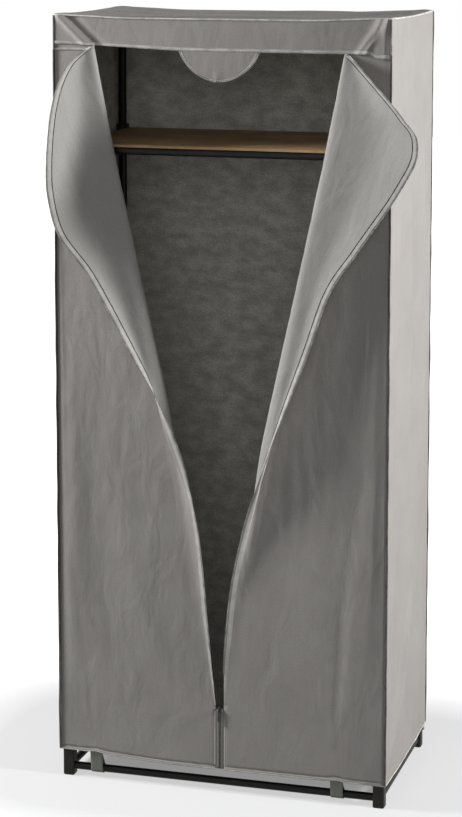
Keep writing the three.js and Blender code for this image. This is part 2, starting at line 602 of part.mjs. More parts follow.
for (const { side, sx, foldTop, bulge, reach, rise: mostRise, edge } of doors) {
  const foldLow = new THREE.Vector3(sx * zipHalf, doorFace, FOLD_BOTTOM_HEIGHT);
  const foldTopHeight = headerBottom + headerPull(sx * foldTop + innerHalfWidth);
  const foldHigh = new THREE.Vector3(sx * foldTop, doorFace, foldTopHeight);
  const foldUp = foldHigh.clone().sub(foldLow).normalize();
  const proud = Y.clone().negate();
  const inward = new THREE.Vector3().crossVectors(foldUp, proud).multiplyScalar(-sx);
  const placed = (share, across, rise) => foldLow.clone().lerp(foldHigh, share)
    .addScaledVector(inward, across + SEAT / 2).addScaledVector(proud, rise);

  // The panel ends at the zip tape below the slider, and at the fold above it
  const panelEdge = (z) => {
    const share = THREE.MathUtils.clamp(
      (z - FOLD_BOTTOM_HEIGHT) / (foldTopHeight - FOLD_BOTTOM_HEIGHT), 0, 1);
    return sx * (lerp(zipHalf, foldTop, share) + SEAT / 2);
  };
  const heights = [
    ...spread(HEM_HEIGHT, FOLD_BOTTOM_HEIGHT, 2),
    ...spread(FOLD_BOTTOM_HEIGHT, foldTopHeight, 12).slice(1),
    doorTop,
  ];
  const doorPoint = (inset) => (u, z) => {
    const share = (z - HEM_HEIGHT) / (doorTop - HEM_HEIGHT);
    const swell = foldRise(doorFolds, innerHalfWidth, doorTop - HEM_HEIGHT, u, share);
    const x = lerp(sx * innerHalfWidth, panelEdge(z), u);
    const drawnUp = (hemHeight(x + innerHalfWidth) - HEM_HEIGHT)
      * (1 - smoothstep(z, HEM_HEIGHT, FOLD_BOTTOM_HEIGHT));
    return new THREE.Vector3(x, doorFace + inset - swell, z + drawnUp);
  };
  add(`${side}_front_panel`, clothSolid(spread(0, 1, 8), heights, doorPoint(0), doorPoint(CLOTH)),
    coverCloth);

  // Each row of the lapel leaves the panel in its own plane, rolls round the fold and runs out to
  // the zip edge, clear of the panel. Low down it isn't folded back and only turns forward.
  const zipEdge = new THREE.CatmullRomCurve3(edge.map(
    ([share, across, rise]) => new THREE.Vector3(share, across * reach, rise * mostRise)));
  const lapelPoint = (u, v) => {
    const { x: share, y: across, z: rise } = zipEdge.getPoint(v);
    const folded = smoothstep(share, 0.28, 0.5);
    const belly = FOLD_ROLL + bulge * Math.sin(Math.PI * Math.min(share, 1) ** 0.6) ** 2;
    const lift = Math.min(1.4 * FOLD_ROLL + 0.8 * belly, 0.9 * rise + 1);
    const turned = [[0, 0], [0.3, 0.08], [0.55, 0.27], [0.76, 0.52], [0.9, 0.77], [1, 1]]
      .map(([a, r]) => [a * across, r * rise]);
    const rolled = [
      [0, 0], [0.8 * belly, 0.14 * lift], [0.9 * belly, 0.62 * lift], [0.25 * belly, lift],
      [0.5 * across, lerp(lift, rise, 0.22)], [across, rise],
    ];
    const row = turned.map(([a, r], i) => new THREE.Vector3(
      lerp(a, rolled[i][0], folded), lerp(r, rolled[i][1], folded), 0));
    const at = new THREE.CatmullRomCurve3(row, false, 'centripetal').getPoint(u);
    return placed(share, at.x, at.y);
  };
  const lapelInside = (u, v) => {
    const step = 0.004;
    const alongU = lapelPoint(Math.min(u + step, 1), v).sub(lapelPoint(Math.max(u - step, 0), v));
    const alongV = lapelPoint(u, Math.min(v + step, 1)).sub(lapelPoint(u, Math.max(v - step, 0)));
    const normal = alongU.cross(alongV).normalize().multiplyScalar(-sx);
    return lapelPoint(u, v).addScaledVector(normal, CLOTH);
  };
  add(`${side}_lapel`,
    clothSolid(spread(0, 1, 10), spread(LAPEL_ENDS, 1 - LAPEL_ENDS, 24), lapelPoint, lapelInside),
    liningCloth);
}

// Zip: two tapes sewn to the panels' edges below the slider, each with its row of teeth
const zipPlane = doorFace + CLOTH / 2;
const teethProud = ZIP_TAPE_CLOTH / 2 + ZIP_TEETH_PROUD;
for (const [side, sx] of [['left', -1], ['right', 1]]) {
  const inner = ZIP_SLOT / 2;
  const teethEnd = inner + ZIP_TEETH_WIDTH;
  const outer = zipHalf - SEAT / 2;
  const section = new THREE.Shape([
    [inner, -teethProud], [teethEnd, -teethProud], [teethEnd, -ZIP_TAPE_CLOTH / 2],
    [outer, -ZIP_TAPE_CLOTH / 2], [outer, ZIP_TAPE_CLOTH / 2], [teethEnd, ZIP_TAPE_CLOTH / 2],
    [teethEnd, teethProud], [inner, teethProud],
  ].map(([x, y]) => new THREE.Vector2(sx * x, y)));
  const tape = new THREE.ExtrudeGeometry(section, {
    depth: FOLD_BOTTOM_HEIGHT - HEM_HEIGHT, bevelEnabled: false,
  });
  add(`${side}_zip_tape`, tape, bindingTape).position.set(0, zipPlane, HEM_HEIGHT);
}

// Slider: a plate in front of the teeth and one behind, joined by a post that parts the two rows.
// The pull hangs from a bar that turns under the bridge on the front plate.
const plateOffset = teethProud + SLIDER_EASE;
const barReach = Math.hypot(PULL_FRAME, PULL_THICKNESS) / 2;
const barOffset = barReach + SLIDER_EASE;
const bridgeInner = barOffset + barReach + SLIDER_EASE;
const bridgeOuter = bridgeInner + BRIDGE_THICKNESS;

function sliderPlate() {
  const half = SLIDER_LENGTH / 2;
  const outline = new THREE.Shape();
  outline.moveTo(-SLIDER_FOOT_WIDTH / 2, -half);
  outline.lineTo(SLIDER_FOOT_WIDTH / 2, -half);
  outline.lineTo(SLIDER_WIDTH / 2, half * 0.3);
  outline.quadraticCurveTo(SLIDER_WIDTH / 2, half, 0, half);
  outline.quadraticCurveTo(-SLIDER_WIDTH / 2, half, -SLIDER_WIDTH / 2, half * 0.3);
  return new THREE.ExtrudeGeometry(outline, {
    depth: SLIDER_PLATE, bevelEnabled: false, curveSegments: 4,
  }).rotateX(Math.PI / 2);
}

const post = new THREE.BoxGeometry(SLIDER_POST, 2 * plateOffset + SLIDER_PLATE, SLIDER_POST_LENGTH)
  .translate(0, 0, (SLIDER_LENGTH - SLIDER_POST_LENGTH) / 2 - SLIDER_PLATE / 2);
const arch = new THREE.Shape();
const archAngle = Math.PI / 2 + 0.1; // both legs sink into the plate
arch.absarc(0, 0, bridgeOuter, -archAngle, archAngle);
arch.absarc(0, 0, bridgeInner, archAngle, -archAngle, true);
const bridge = new THREE.ExtrudeGeometry(arch, {
  depth: BRIDGE_WIDTH, bevelEnabled: false, curveSegments: ARC_STEPS,
}).translate(0, 0, -BRIDGE_WIDTH / 2)
  .applyMatrix4(new THREE.Matrix4().makeBasis(Y.clone().negate(), Z, X.clone().negate()))
  .translate(0, -plateOffset - SLIDER_PLATE, 0);
const sliderBody = join(
  sliderPlate().translate(0, -plateOffset, 0),
  sliderPlate().translate(0, plateOffset + SLIDER_PLATE, 0),
  post,
  bridge,
);
const sliderHeight = FOLD_BOTTOM_HEIGHT - SLIDER_LENGTH / 2 + SLIDER_POST_LENGTH + SLIDER_PLATE;
add('zip_slider', sliderBody, zipMetal).position.set(0, zipPlane, sliderHeight);

const eyeHalfWidth = BRIDGE_WIDTH / 2 + SLIDER_EASE;
const eyeEnd = Math.hypot(bridgeOuter, barOffset) + SLIDER_EASE;
const neckEnd = eyeEnd + PULL_FRAME;
const pullEnd = PULL_FRAME / 2 - PULL_LENGTH;
const tab = new THREE.Shape();
tab.moveTo(-PULL_NECK_WIDTH / 2, PULL_FRAME / 2);
tab.lineTo(-PULL_NECK_WIDTH / 2, -neckEnd);
tab.absarc(0, pullEnd + PULL_WIDTH / 2, PULL_WIDTH / 2, Math.PI, 2 * Math.PI);
tab.lineTo(PULL_NECK_WIDTH / 2, -neckEnd);
tab.lineTo(PULL_NECK_WIDTH / 2, PULL_FRAME / 2);
tab.holes.push(new THREE.Path([
  [-eyeHalfWidth, -PULL_FRAME / 2], [eyeHalfWidth, -PULL_FRAME / 2],
  [eyeHalfWidth, -eyeEnd], [-eyeHalfWidth, -eyeEnd],
].map(([x, y]) => new THREE.Vector2(x, y))));
const pull = new THREE.ExtrudeGeometry(tab, {
  depth: PULL_THICKNESS, bevelEnabled: false, curveSegments: ARC_STEPS,
}).translate(0, 0, -PULL_THICKNESS / 2).rotateX(Math.PI / 2);
add('zip_pull', pull, zipMetal)
  .position.set(0, zipPlane - plateOffset - SLIDER_PLATE - barOffset, sliderHeight);

// Tie-down straps: each is a loop round the front base rail, with both ends sewn behind the hem
const strapPlane = doorInside + SEAT + STRAP_CLOTH;

// The loop round the rail, from one touching point under it to the other
function roundRail(strapApex, frontFrom, backFrom, radius) {
  const touch = (y, turn) => {
    const dy = y - uprightFrontY;
    const dz = strapApex - BASE_RAIL_HEIGHT;
    return Math.atan2(dz, dy) + turn * Math.acos(radius / Math.hypot(dy, dz));
  };
  const from = touch(frontFrom, 1);
  const to = touch(backFrom, -1) + 2 * Math.PI;
  return spread(from, to, 2 * ARC_STEPS).map((angle) => new THREE.Vector2(
    uprightFrontY + radius * Math.cos(angle), BASE_RAIL_HEIGHT + radius * Math.sin(angle)));
}

const railReach = UPRIGHT_TUBE / 2 + SEAT;
const strapFront = strapPlane - STRAP_CLOTH;
const strapBack = strapPlane + STRAP_CLOTH;
function strapLoop(hem) {
  const apex = hem - STRAP_APEX_DROP;
  const loop = new THREE.Shape([
    new THREE.Vector2(strapFront, hem + STRAP_OVERLAP), new THREE.Vector2(strapFront, apex),
    ...roundRail(apex, strapFront, strapBack, railReach + STRAP_CLOTH),
    new THREE.Vector2(strapBack, apex), new THREE.Vector2(strapBack, hem + STRAP_OVERLAP),
  ]);
  loop.holes.push(new THREE.Path([
    new THREE.Vector2(strapPlane, apex), ...roundRail(apex, strapPlane, strapPlane, railReach),
  ]));
  return loop;
}
for (const [side, x] of [
  ['left', LEFT_STRAP_INSET - halfWidth], ['right', halfWidth - RIGHT_STRAP_INSET],
]) {
  const loop = strapLoop(hemHeight(x + halfWidth));
  const strap = new THREE.ExtrudeGeometry(loop, { depth: STRAP_WIDTH, bevelEnabled: false })
    .translate(0, 0, -STRAP_WIDTH / 2)
    .applyMatrix4(new THREE.Matrix4().makeBasis(Y, Z, X));
  add(`${side}_tie_strap`, strap, bindingTape).position.x = x;
}

// The origin goes to the middle of the whole part's outline, on the floor
const outline = new THREE.Box3().setFromObject(wardrobe, true);
const middle = outline.getCenter(new THREE.Vector3()).setZ(0);
for (const piece of wardrobe.children) piece.position.sub(middle);

export default wardrobe;
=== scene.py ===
import math

import bmesh
import bpy
from mathutils import Matrix, Vector, noise


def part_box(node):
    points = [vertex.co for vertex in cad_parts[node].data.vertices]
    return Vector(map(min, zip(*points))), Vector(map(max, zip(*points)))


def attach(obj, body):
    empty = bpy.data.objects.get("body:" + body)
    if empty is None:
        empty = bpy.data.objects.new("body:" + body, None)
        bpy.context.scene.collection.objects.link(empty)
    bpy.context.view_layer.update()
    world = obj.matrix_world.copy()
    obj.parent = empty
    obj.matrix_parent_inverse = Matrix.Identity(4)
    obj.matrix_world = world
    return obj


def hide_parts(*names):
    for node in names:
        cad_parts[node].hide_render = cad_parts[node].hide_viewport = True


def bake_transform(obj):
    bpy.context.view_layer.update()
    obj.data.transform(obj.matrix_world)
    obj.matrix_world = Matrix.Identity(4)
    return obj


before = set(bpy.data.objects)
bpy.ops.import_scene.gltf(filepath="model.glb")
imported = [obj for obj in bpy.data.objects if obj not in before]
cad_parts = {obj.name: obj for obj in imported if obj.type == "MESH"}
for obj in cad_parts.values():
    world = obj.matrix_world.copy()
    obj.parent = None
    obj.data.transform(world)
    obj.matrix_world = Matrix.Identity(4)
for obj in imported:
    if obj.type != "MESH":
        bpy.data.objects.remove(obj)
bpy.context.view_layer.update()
scene = bpy.context.scene

# The room: a pale floor that runs into a white backdrop. A narrow strong lamp stands well off to the
# right, a broader one to the left, and a large faint one beside the camera. Places are in millimetres
# from the middle of the cover and the floor.
roof_low, roof_high = (Vector(corner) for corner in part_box("roof_panel"))
cover_middle = (roof_low + roof_high) / 2


def at(x, y, z):
    """A place in millimetres from the cover's middle and the floor, in the frame's metres."""
    return Vector((cover_middle.x + x / 1000, cover_middle.y + y / 1000, z / 1000))


yaw, pitch = math.radians(-16.33), math.radians(-7.57)
looking = Vector((math.sin(yaw) * math.cos(pitch), math.cos(yaw) * math.cos(pitch), math.sin(pitch)))
camera = bpy.data.objects.new("camera", bpy.data.cameras.new("camera"))
camera.data.lens = 102.8
camera.data.shift_y = -0.2264
camera.data.clip_end = 60
camera.location = at(1323.8, -4633.6, 1801.5)
camera.rotation_euler = looking.to_track_quat("-Z", "Y").to_euler()
scene.collection.objects.link(camera)
scene.camera = camera
scene.view_settings.view_transform = "Standard"

room = bpy.data.worlds.new("room")
room.use_nodes = True
scene.world = room
sky = room.node_tree.nodes["Background"]
sky.inputs["Color"].default_value = (1, 1, 1, 1)
sky.inputs["Strength"].default_value = 0.18
backdrop = room.node_tree.nodes.new("ShaderNodeBackground")
backdrop.inputs["Color"].default_value = (1, 1, 1, 1)
backdrop.inputs["Strength"].default_value = 1
seen = room.node_tree.nodes.new("ShaderNodeLightPath")
seen_or_mirrored = room.node_tree.nodes.new("ShaderNodeMath")
seen_or_mirrored.operation = "MAXIMUM"
seen_through = room.node_tree.nodes.new("ShaderNodeMath")
seen_through.operation = "MAXIMUM"
either = room.node_tree.nodes.new("ShaderNodeMixShader")
for source, target in (
    (seen.outputs["Is Camera Ray"], seen_or_mirrored.inputs[0]),
    (seen.outputs["Is Glossy Ray"], seen_or_mirrored.inputs[1]),
    (seen_or_mirrored.outputs[0], seen_through.inputs[0]),
    (seen.outputs["Is Transmission Ray"], seen_through.inputs[1]),
    (seen_through.outputs[0], either.inputs[0]),
    (sky.outputs[0], either.inputs[1]),
    (backdrop.outputs[0], either.inputs[2]),
    (either.outputs[0], room.node_tree.nodes["World Output"].inputs["Surface"]),
):
    room.node_tree.links.new(source, target)


def window(name, place, aim, width, height, watts):
    """A soft rectangular lamp that shines from place to aim."""
    lamp = bpy.data.lights.new(name, "AREA")
    lamp.shape = "RECTANGLE"
    lamp.size, lamp.size_y, lamp.energy = width, height, watts
    holder = bpy.data.objects.new(name, lamp)
    holder.location = place
    holder.rotation_euler = (aim - place).to_track_quat("-Z", "Y").to_euler()
    scene.collection.objects.link(holder)


window("right_window", at(3300, -330, 1900), at(350, -200, 1000), 0.16, 0.4, 150)
window("left_window", at(-2300, -800, 2050), at(-200, -200, 1000), 0.5, 0.8, 98)
window("front_window", at(900, -4400, 1900), at(0, 0, 900), 2.2, 2.2, 20)


def finish_of(name, colour, roughness, metallic=0.0):
    """A new material with a plain shader, and that shader."""
    finish = bpy.data.materials.new(name)
    finish.use_nodes = True
    shader = finish.node_tree.nodes["Principled BSDF"]
    shader.inputs["Base Color"].default_value = (*colour, 1)
    shader.inputs["Roughness"].default_value = roughness
    shader.inputs["Metallic"].default_value = metallic
    return finish, shader


def add_node(finish, kind, inputs, **settings):
    """A node in the finish's tree, with its inputs set or linked."""
    node = finish.node_tree.nodes.new("ShaderNode" + kind)
    for setting, value in settings.items():
        setattr(node, setting, value)
    for socket, value in inputs.items():
        if isinstance(value, bpy.types.NodeSocket):
            finish.node_tree.links.new(value, node.inputs[socket])
        else:
            node.inputs[socket].default_value = value
    return node.outputs[0]


def levels(finish, factor, least, most, low=0.3, high=0.7):
    """A number that goes from least to most as factor goes from low to high."""
    return add_node(finish, "MapRange", {0: factor, 1: low, 2: high, 3: least, 4: most})


def object_places(finish):
    """The places on the piece itself, in metres, which a finish's noise is laid out in."""
    return finish.node_tree.nodes.new("ShaderNodeTexCoord").outputs["Object"]


floor_shape = bmesh.new()
bmesh.ops.create_grid(floor_shape, x_segments=4, y_segments=4, size=14)
floor_mesh = bpy.data.meshes.new("floor")
floor_shape.to_mesh(floor_mesh)
floor_shape.free()
floor = bpy.data.objects.new("floor", floor_mesh)
scene.collection.objects.link(floor)
pale_floor, floor_shader = finish_of("pale floor", (0.2, 0.2, 0.203), 0.9)
floor_shader.inputs["Specular IOR Level"].default_value = 0.1
floor_shader.inputs["Emission Color"].default_value = (1, 1, 1, 1)
floor_seen = pale_floor.node_tree.nodes.new("ShaderNodeLightPath")
seen_floor = add_node(pale_floor, "Math",
                      {0: floor_seen.outputs["Is Camera Ray"], 1: floor_seen.outputs["Is Glossy Ray"]},
                      operation="MAXIMUM")
# The floor's own glow drops under the wardrobe, which paints shade there. Round it the glow is weaker near the
# foot, so that the real shadow shows, and it grows with the distance from the foot
floor_places = object_places(pale_floor)
off_middle = add_node(pale_floor, "VectorMath", {0: floor_places, 1: tuple(-cover_middle)}, operation="ADD")
away = add_node(pale_floor, "VectorMath", {0: off_middle}, operation="ABSOLUTE")
painted_shade_half_width, painted_shade_half_depth, any_height = 0.31, 0.115, 10
painted_shade_patch = (-painted_shade_half_width, -painted_shade_half_depth, -any_height)
beyond = add_node(pale_floor, "VectorMath", {0: away, 1: painted_shade_patch}, operation="ADD")
outside = add_node(pale_floor, "VectorMath", {0: beyond, 1: (0, 0, 0)}, operation="MAXIMUM")
reach = add_node(pale_floor, "VectorMath", {0: outside}, operation="LENGTH").node.outputs["Value"]
# Inside the patch under the wardrobe the glow is only 0.27, which is painted shade
near_glow_and_painted_shade = levels(pale_floor, reach, 0.27, 0.58, 0.001, 0.02)
far_glow = levels(pale_floor, reach, 0, 0.8, 0.25, 0.75)
floor_glow = add_node(pale_floor, "Math", {0: near_glow_and_painted_shade, 1: far_glow}, operation="ADD")
pale_floor.node_tree.links.new(
    add_node(pale_floor, "Math", {0: seen_floor, 1: floor_glow}, operation="MULTIPLY"),
    floor_shader.inputs["Emission Strength"])
floor_mesh.materials.append(pale_floor)


# Tubes: the uprights, base rails, shelf rails, top rails and hanging rail are thin steel tube, cut
# square and powder coated black. They only plug onto the connectors, and the coating shows a fine
# orange peel and dust in its gloss.

def shades(finish, factor, dark, light, low=0.35, high=0.65):
    """A colour that goes from dark to light as factor goes from low to high."""
    ramp = finish.node_tree.nodes.new("ShaderNodeValToRGB")
    ramp.color_ramp.elements[0].position, ramp.color_ramp.elements[0].color = low, (*dark, 1)
    ramp.color_ramp.elements[1].position, ramp.color_ramp.elements[1].color = high, (*light, 1)
    finish.node_tree.links.new(factor, ramp.inputs[0])
    return ramp.outputs[0]


powder_coat, powder_shader = finish_of("powder coated steel", (0.007, 0.0065, 0.006), 0.46)
powder_shader.inputs["Specular IOR Level"].default_value = 0.14
places = object_places(powder_coat)
peel = add_node(powder_coat, "TexNoise", {"Vector": places, "Scale": 700, "Detail": 2})
dust = add_node(powder_coat, "TexNoise", {"Vector": places, "Scale": 24, "Detail": 6})
powder_coat.node_tree.links.new(
    shades(powder_coat, dust, (0.0045, 0.0042, 0.004), (0.0095, 0.009, 0.008)),
    powder_shader.inputs["Base Color"])
powder_coat.node_tree.links.new(
    levels(powder_coat, dust, 0.34, 0.5), powder_shader.inputs["Roughness"])
powder_coat.node_tree.links.new(
    add_node(powder_coat, "Bump", {"Height": peel, "Strength": 0.18, "Distance": 0.0004}),
    powder_shader.inputs["Normal"])


def coat(finish, *endings):
    """Puts a finish on each solid of the frame whose name ends like this."""
    for name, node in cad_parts.items():
        if name.endswith(endings):
            for slot in node.material_slots:
                slot.material = finish


coat(powder_coat, "_upright", "_rail")

# Connectors: each foot, shelf and top corner is one injection-moulded black plastic block with a
# ribbed spigot for every tube. The two brackets that clip over the side shelf rails are of the
# same plastic, which has a fine spark-eroded grain.
moulded_plastic, plastic_shader = finish_of("moulded plastic", (0.014, 0.013, 0.011), 0.5)
plastic_shader.inputs["Specular IOR Level"].default_value = 0.2
places = object_places(moulded_plastic)
grain = add_node(moulded_plastic, "TexNoise", {"Vector": places, "Scale": 2600, "Detail": 3})
rubs = add_node(moulded_plastic, "TexNoise", {"Vector": places, "Scale": 60, "Detail": 8, "Roughness": 0.7})
moulded_plastic.node_tree.links.new(
    shades(moulded_plastic, rubs, (0.009, 0.0082, 0.007), (0.02, 0.0185, 0.0155), 0.4, 0.75),
    plastic_shader.inputs["Base Color"])
moulded_plastic.node_tree.links.new(
    levels(moulded_plastic, rubs, 0.42, 0.6), plastic_shader.inputs["Roughness"])
moulded_plastic.node_tree.links.new(
    add_node(moulded_plastic, "Bump", {"Height": grain, "Strength": 0.25, "Distance": 0.0002}),
    plastic_shader.inputs["Normal"])
coat(moulded_plastic, "_connector", "_bracket")

# Shelf board: a thin sheet of wood fibre, sawn to size and left uncoated, laid loose on the front
# and back shelf rails. Its fibres are pressed flat along the board.
fibreboard, board_shader = finish_of("fibreboard", (0.42, 0.27, 0.13), 0.62)
places = object_places(fibreboard)
along = add_node(fibreboard, "Mapping", {"Vector": places, "Scale": (40, 260, 260)})
fibres = add_node(fibreboard, "TexNoise", {"Vector": along, "Scale": 1, "Detail": 6, "Roughness": 0.65})
clouds = add_node(fibreboard, "TexNoise", {"Vector": places, "Scale": 9, "Detail": 3})
board_tone = add_node(fibreboard, "Math", {0: fibres, 1: clouds}, operation="MULTIPLY")
fibreboard.node_tree.links.new(
    shades(fibreboard, board_tone, (0.25, 0.15, 0.065), (0.5, 0.33, 0.165), 0.14, 0.4),
    board_shader.inputs["Base Color"])
fibreboard.node_tree.links.new(
    add_node(fibreboard, "Bump", {"Height": fibres, "Strength": 0.3, "Distance": 0.0004}),
    board_shader.inputs["Normal"])
coat(fibreboard, "shelf_board")

# Roof: one piece of the cover's cloth, sewn to the header, sides and back all round. It is held up
# by the four top connectors, and sags a little between them. A light piping is caught in the seam
# round its edge.
half_width, half_depth = 350.0, 200.0
cover_top = 1600.0
cloth_thickness = 1.5
corner_flat, roof_slope = 30.2, 140.0
front_sag, side_sag, roof_sag = 4.5, 1.5, 3.0
corner_knob, knob_spread = 2.5, 20
connector_x, connector_y = 334, 183
seam_sink = 2


def smooth(value, low, high):
    """Goes softly from 0 to 1 as value goes from low to high."""
    t = min(max((value - low) / (high - low), 0), 1)
    return t * t * (3 - 2 * t)


def between(a, b, t):
    """The value at t, 0 to 1, on the way from a to b."""
    return a + (b - a) * t


def roof_drape(x, y):
    """How far the roof lies below its corners."""
    from_side = smooth(half_width - abs(x), corner_flat, corner_flat + roof_slope)
    from_end = smooth(half_depth - abs(y), corner_flat, corner_flat + roof_slope)
    from_connector = math.hypot(abs(x) - connector_x, abs(y) - connector_y) / knob_spread
    return (front_sag * from_side + side_sag * from_end + roof_sag * from_side * from_end
            - corner_knob * math.exp(-from_connector**2))


def woven(name, dark, light, pitch, crease, clouds=(7, 7, 7), roughness=0.84):
    """A woven cloth: threads both ways at this pitch in metres, cloudy tone, and soft creases."""
    finish, shader = finish_of(name, light, roughness)
    flat = add_node(finish, "UVMap", {}, uv_map="cloth")
    warp = add_node(finish, "TexWave", {"Vector": flat, "Scale": 0.314 / pitch, "Distortion": 0.5},
                    bands_direction="X")
    weft = add_node(finish, "TexWave", {"Vector": flat, "Scale": 0.314 / pitch, "Distortion": 0.5},
                    bands_direction="Y")
    threads = add_node(finish, "Math", {0: warp.node.outputs["Fac"], 1: weft.node.outputs["Fac"]},
                       operation="MULTIPLY")
    spread = add_node(finish, "Mapping", {"Vector": flat, "Scale": clouds})
    cloudy = add_node(finish, "TexNoise", {"Vector": spread, "Scale": 1, "Detail": 7, "Roughness": 0.6})
    slubs = add_node(finish, "TexNoise", {"Vector": flat, "Scale": 380, "Detail": 2})
    tone = add_node(finish, "Math", {0: cloudy, 1: slubs}, operation="MULTIPLY")
    finish.node_tree.links.new(shades(finish, tone, dark, light, 0.15, 0.36), shader.inputs["Base Color"])
    finish.node_tree.links.new(
        levels(finish, cloudy, roughness - 0.08, roughness + 0.06), shader.inputs["Roughness"])
    drawn = add_node(finish, "Mapping", {"Vector": flat, "Scale": (22, 9, 1)})
    creases = add_node(finish, "TexNoise", {"Vector": drawn, "Scale": 1, "Detail": 4,
                                            "Roughness": 0.5, "Distortion": 0.5})
    folded = add_node(finish, "Bump", {"Height": creases, "Strength": 1.0, "Distance": crease})
    laid = add_node(finish, "Bump", {"Height": threads, "Normal": folded, "Strength": 0.3, "Distance": 0.00025})
    finish.node_tree.links.new(laid, shader.inputs["Normal"])
    shader.inputs["Sheen Weight"].default_value = 0.03
    shader.inputs["Sheen Roughness"].default_value = 0.5
    shader.inputs["Specular IOR Level"].default_value = 0.12
    return finish


outer_cloth = woven("cover cloth", (0.285, 0.27, 0.257), (0.335, 0.32, 0.305), 0.0011, 0.0030)
# The roof's cloth is a darker copy of the cover cloth, and its tone is drawn out into long streaks along the
# roof. Both are painted shade: they stand in for the top's dimmer light and for the shading of lengthwise
# wrinkles.
roof_cloth = woven("roof cloth with painted shade", (0.135, 0.13, 0.124), (0.27, 0.258, 0.246), 0.0011, 0.0050,
                   clouds=(2.2, 62, 1))
lapel_inside = woven("inner side of the front cloth", (0.33, 0.32, 0.305), (0.385, 0.374, 0.358),
                     0.0011, 0.0030)
# The inner face of the roof, sides, back, header and flap. Its mottling is its own, but part of its paleness is
# painted light, standing in for light that comes through the cover into the wardrobe.
lining_with_painted_light = woven("lining_with_painted_light", (0.38, 0.372, 0.34), (0.72, 0.71, 0.655), 0.0016, 0.0030, clouds=(26, 40, 1))


def cloth_sheet(name, columns, rows, size, place, finishes, body="frame_and_cover", node=None):
    """A grid of cloth. Its point at (u, v), 0 to 1 both ways, lies at place(u, v)."""
    shape = bmesh.new()
    bmesh.ops.create_grid(shape, x_segments=columns, y_segments=rows, size=1, calc_uvs=False)
    laid_out = shape.loops.layers.uv.new("cloth")
    for face in shape.faces:
        face.smooth = True
        for loop in face.loops:
            u, v = (loop.vert.co.x + 1) / 2, (loop.vert.co.y + 1) / 2
            loop[laid_out].uv = (u * size[0] / 1000, v * size[1] / 1000)
    for vert in shape.verts:
        vert.co = at(*place((vert.co.x + 1) / 2, (vert.co.y + 1) / 2))
    return cloth_piece(name, shape, finishes, body, node)


def cloth_piece(name, shape, finishes, body="frame_and_cover", node=None):
    """A piece of cloth, given its outer face. Its thickness and its inner finish lie behind that."""
    mesh = bpy.data.meshes.new(name)
    shape.to_mesh(mesh)
    shape.free()
    for finish in finishes:
        mesh.materials.append(finish)
    piece = bpy.data.objects.new(name, mesh)
    scene.collection.objects.link(piece)
    wall = piece.modifiers.new("cloth", "SOLIDIFY")
    wall.thickness = cloth_thickness / 1000
    wall.offset = -1
    wall.material_offset = 1
    wall.material_offset_rim = 0
    if body:
        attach(piece, body)
    if node:
        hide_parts(node)
    return piece


def fold_rise(folds, width, height, u, v, fade=45):
    """Soft ridges between two places, as shares of the panel, that die out at its seams."""
    rise = 0
    for (u1, v1), (u2, v2), height_of_fold, spread in folds:
        run = Vector(((u2 - u1) * width, (v2 - v1) * height))
        away = Vector(((u - u1) * width, (v - v1) * height))
        t = min(max(away.dot(run) / run.length_squared, 0), 1)
        aside = (away - run * t).length
        rise += height_of_fold * math.sin(math.pi * t) * math.exp(-((aside / spread) ** 2))
    edge = min(u * width, (1 - u) * width, v * height, (1 - v) * height)
    return rise * smooth(edge, 0, fade)


def puckers(x, z, size, depth, seed):
    """Small uneven rises of the cloth, of about this size across."""
    return depth * noise.noise(Vector((x / size, z / size, seed)))


roof_folds = [
    ((0.06, 0.07), (0.55, 0.10), 3.2, 7), ((0.3, 0.18), (0.96, 0.11), 3.2, 8),
    ((0.08, 0.30), (0.66, 0.25), 3.0, 10), ((0.45, 0.40), (0.97, 0.36), 3.0, 11),
    ((0.1, 0.62), (0.8, 0.55), 3.0, 16), ((0.3, 0.84), (0.94, 0.80), 2.5, 14),
]


def roof_place(u, v):
    x, y = between(-half_width, half_width, u), between(-half_depth, half_depth, v)
    ripple = 2.4 * noise.noise(Vector((x / 260, y / 17, 3.1)))
    ripple += 0.8 * noise.noise(Vector((x / 60, y / 30, 8.2)))
    ripple *= smooth(min(half_width - abs(x), half_depth - abs(y)), 0, 22)
    ripple += fold_rise(roof_folds, 2 * half_width, 2 * half_depth, u, v, fade=16)
    return x, y, cover_top - roof_drape(x, y) + ripple


roof = cloth_sheet("roof_cloth", 140, 120, (700, 400), roof_place, [roof_cloth, lining_with_painted_light], node="roof_panel")


def trim_finish(name, dark, light, roughness=0.78, ribs=900, depth=0.0003):
    """A narrow woven or spun trim: fine ribs and a tone that wears unevenly."""
    finish, shader = finish_of(name, light, roughness)
    where = object_places(finish)
    ribbed = add_node(finish, "TexNoise", {"Vector": where, "Scale": ribs, "Detail": 2})
    worn = add_node(finish, "TexNoise", {"Vector": where, "Scale": 48, "Detail": 6, "Roughness": 0.65})
    finish.node_tree.links.new(shades(finish, worn, dark, light, 0.38, 0.62), shader.inputs["Base Color"])
    finish.node_tree.links.new(
        add_node(finish, "Bump", {"Height": ribbed, "Strength": 0.5, "Distance": depth}),
        shader.inputs["Normal"])
    shader.inputs["Specular IOR Level"].default_value = 0.2
    return finish


pale_piping_and_painted_highlight = trim_finish("pale piping, also a painted highlight", (0.4, 0.388, 0.365), (0.64, 0.625, 0.585))
front_hem_cloth = trim_finish("front hem piping", (0.27, 0.26, 0.243), (0.42, 0.405, 0.38))
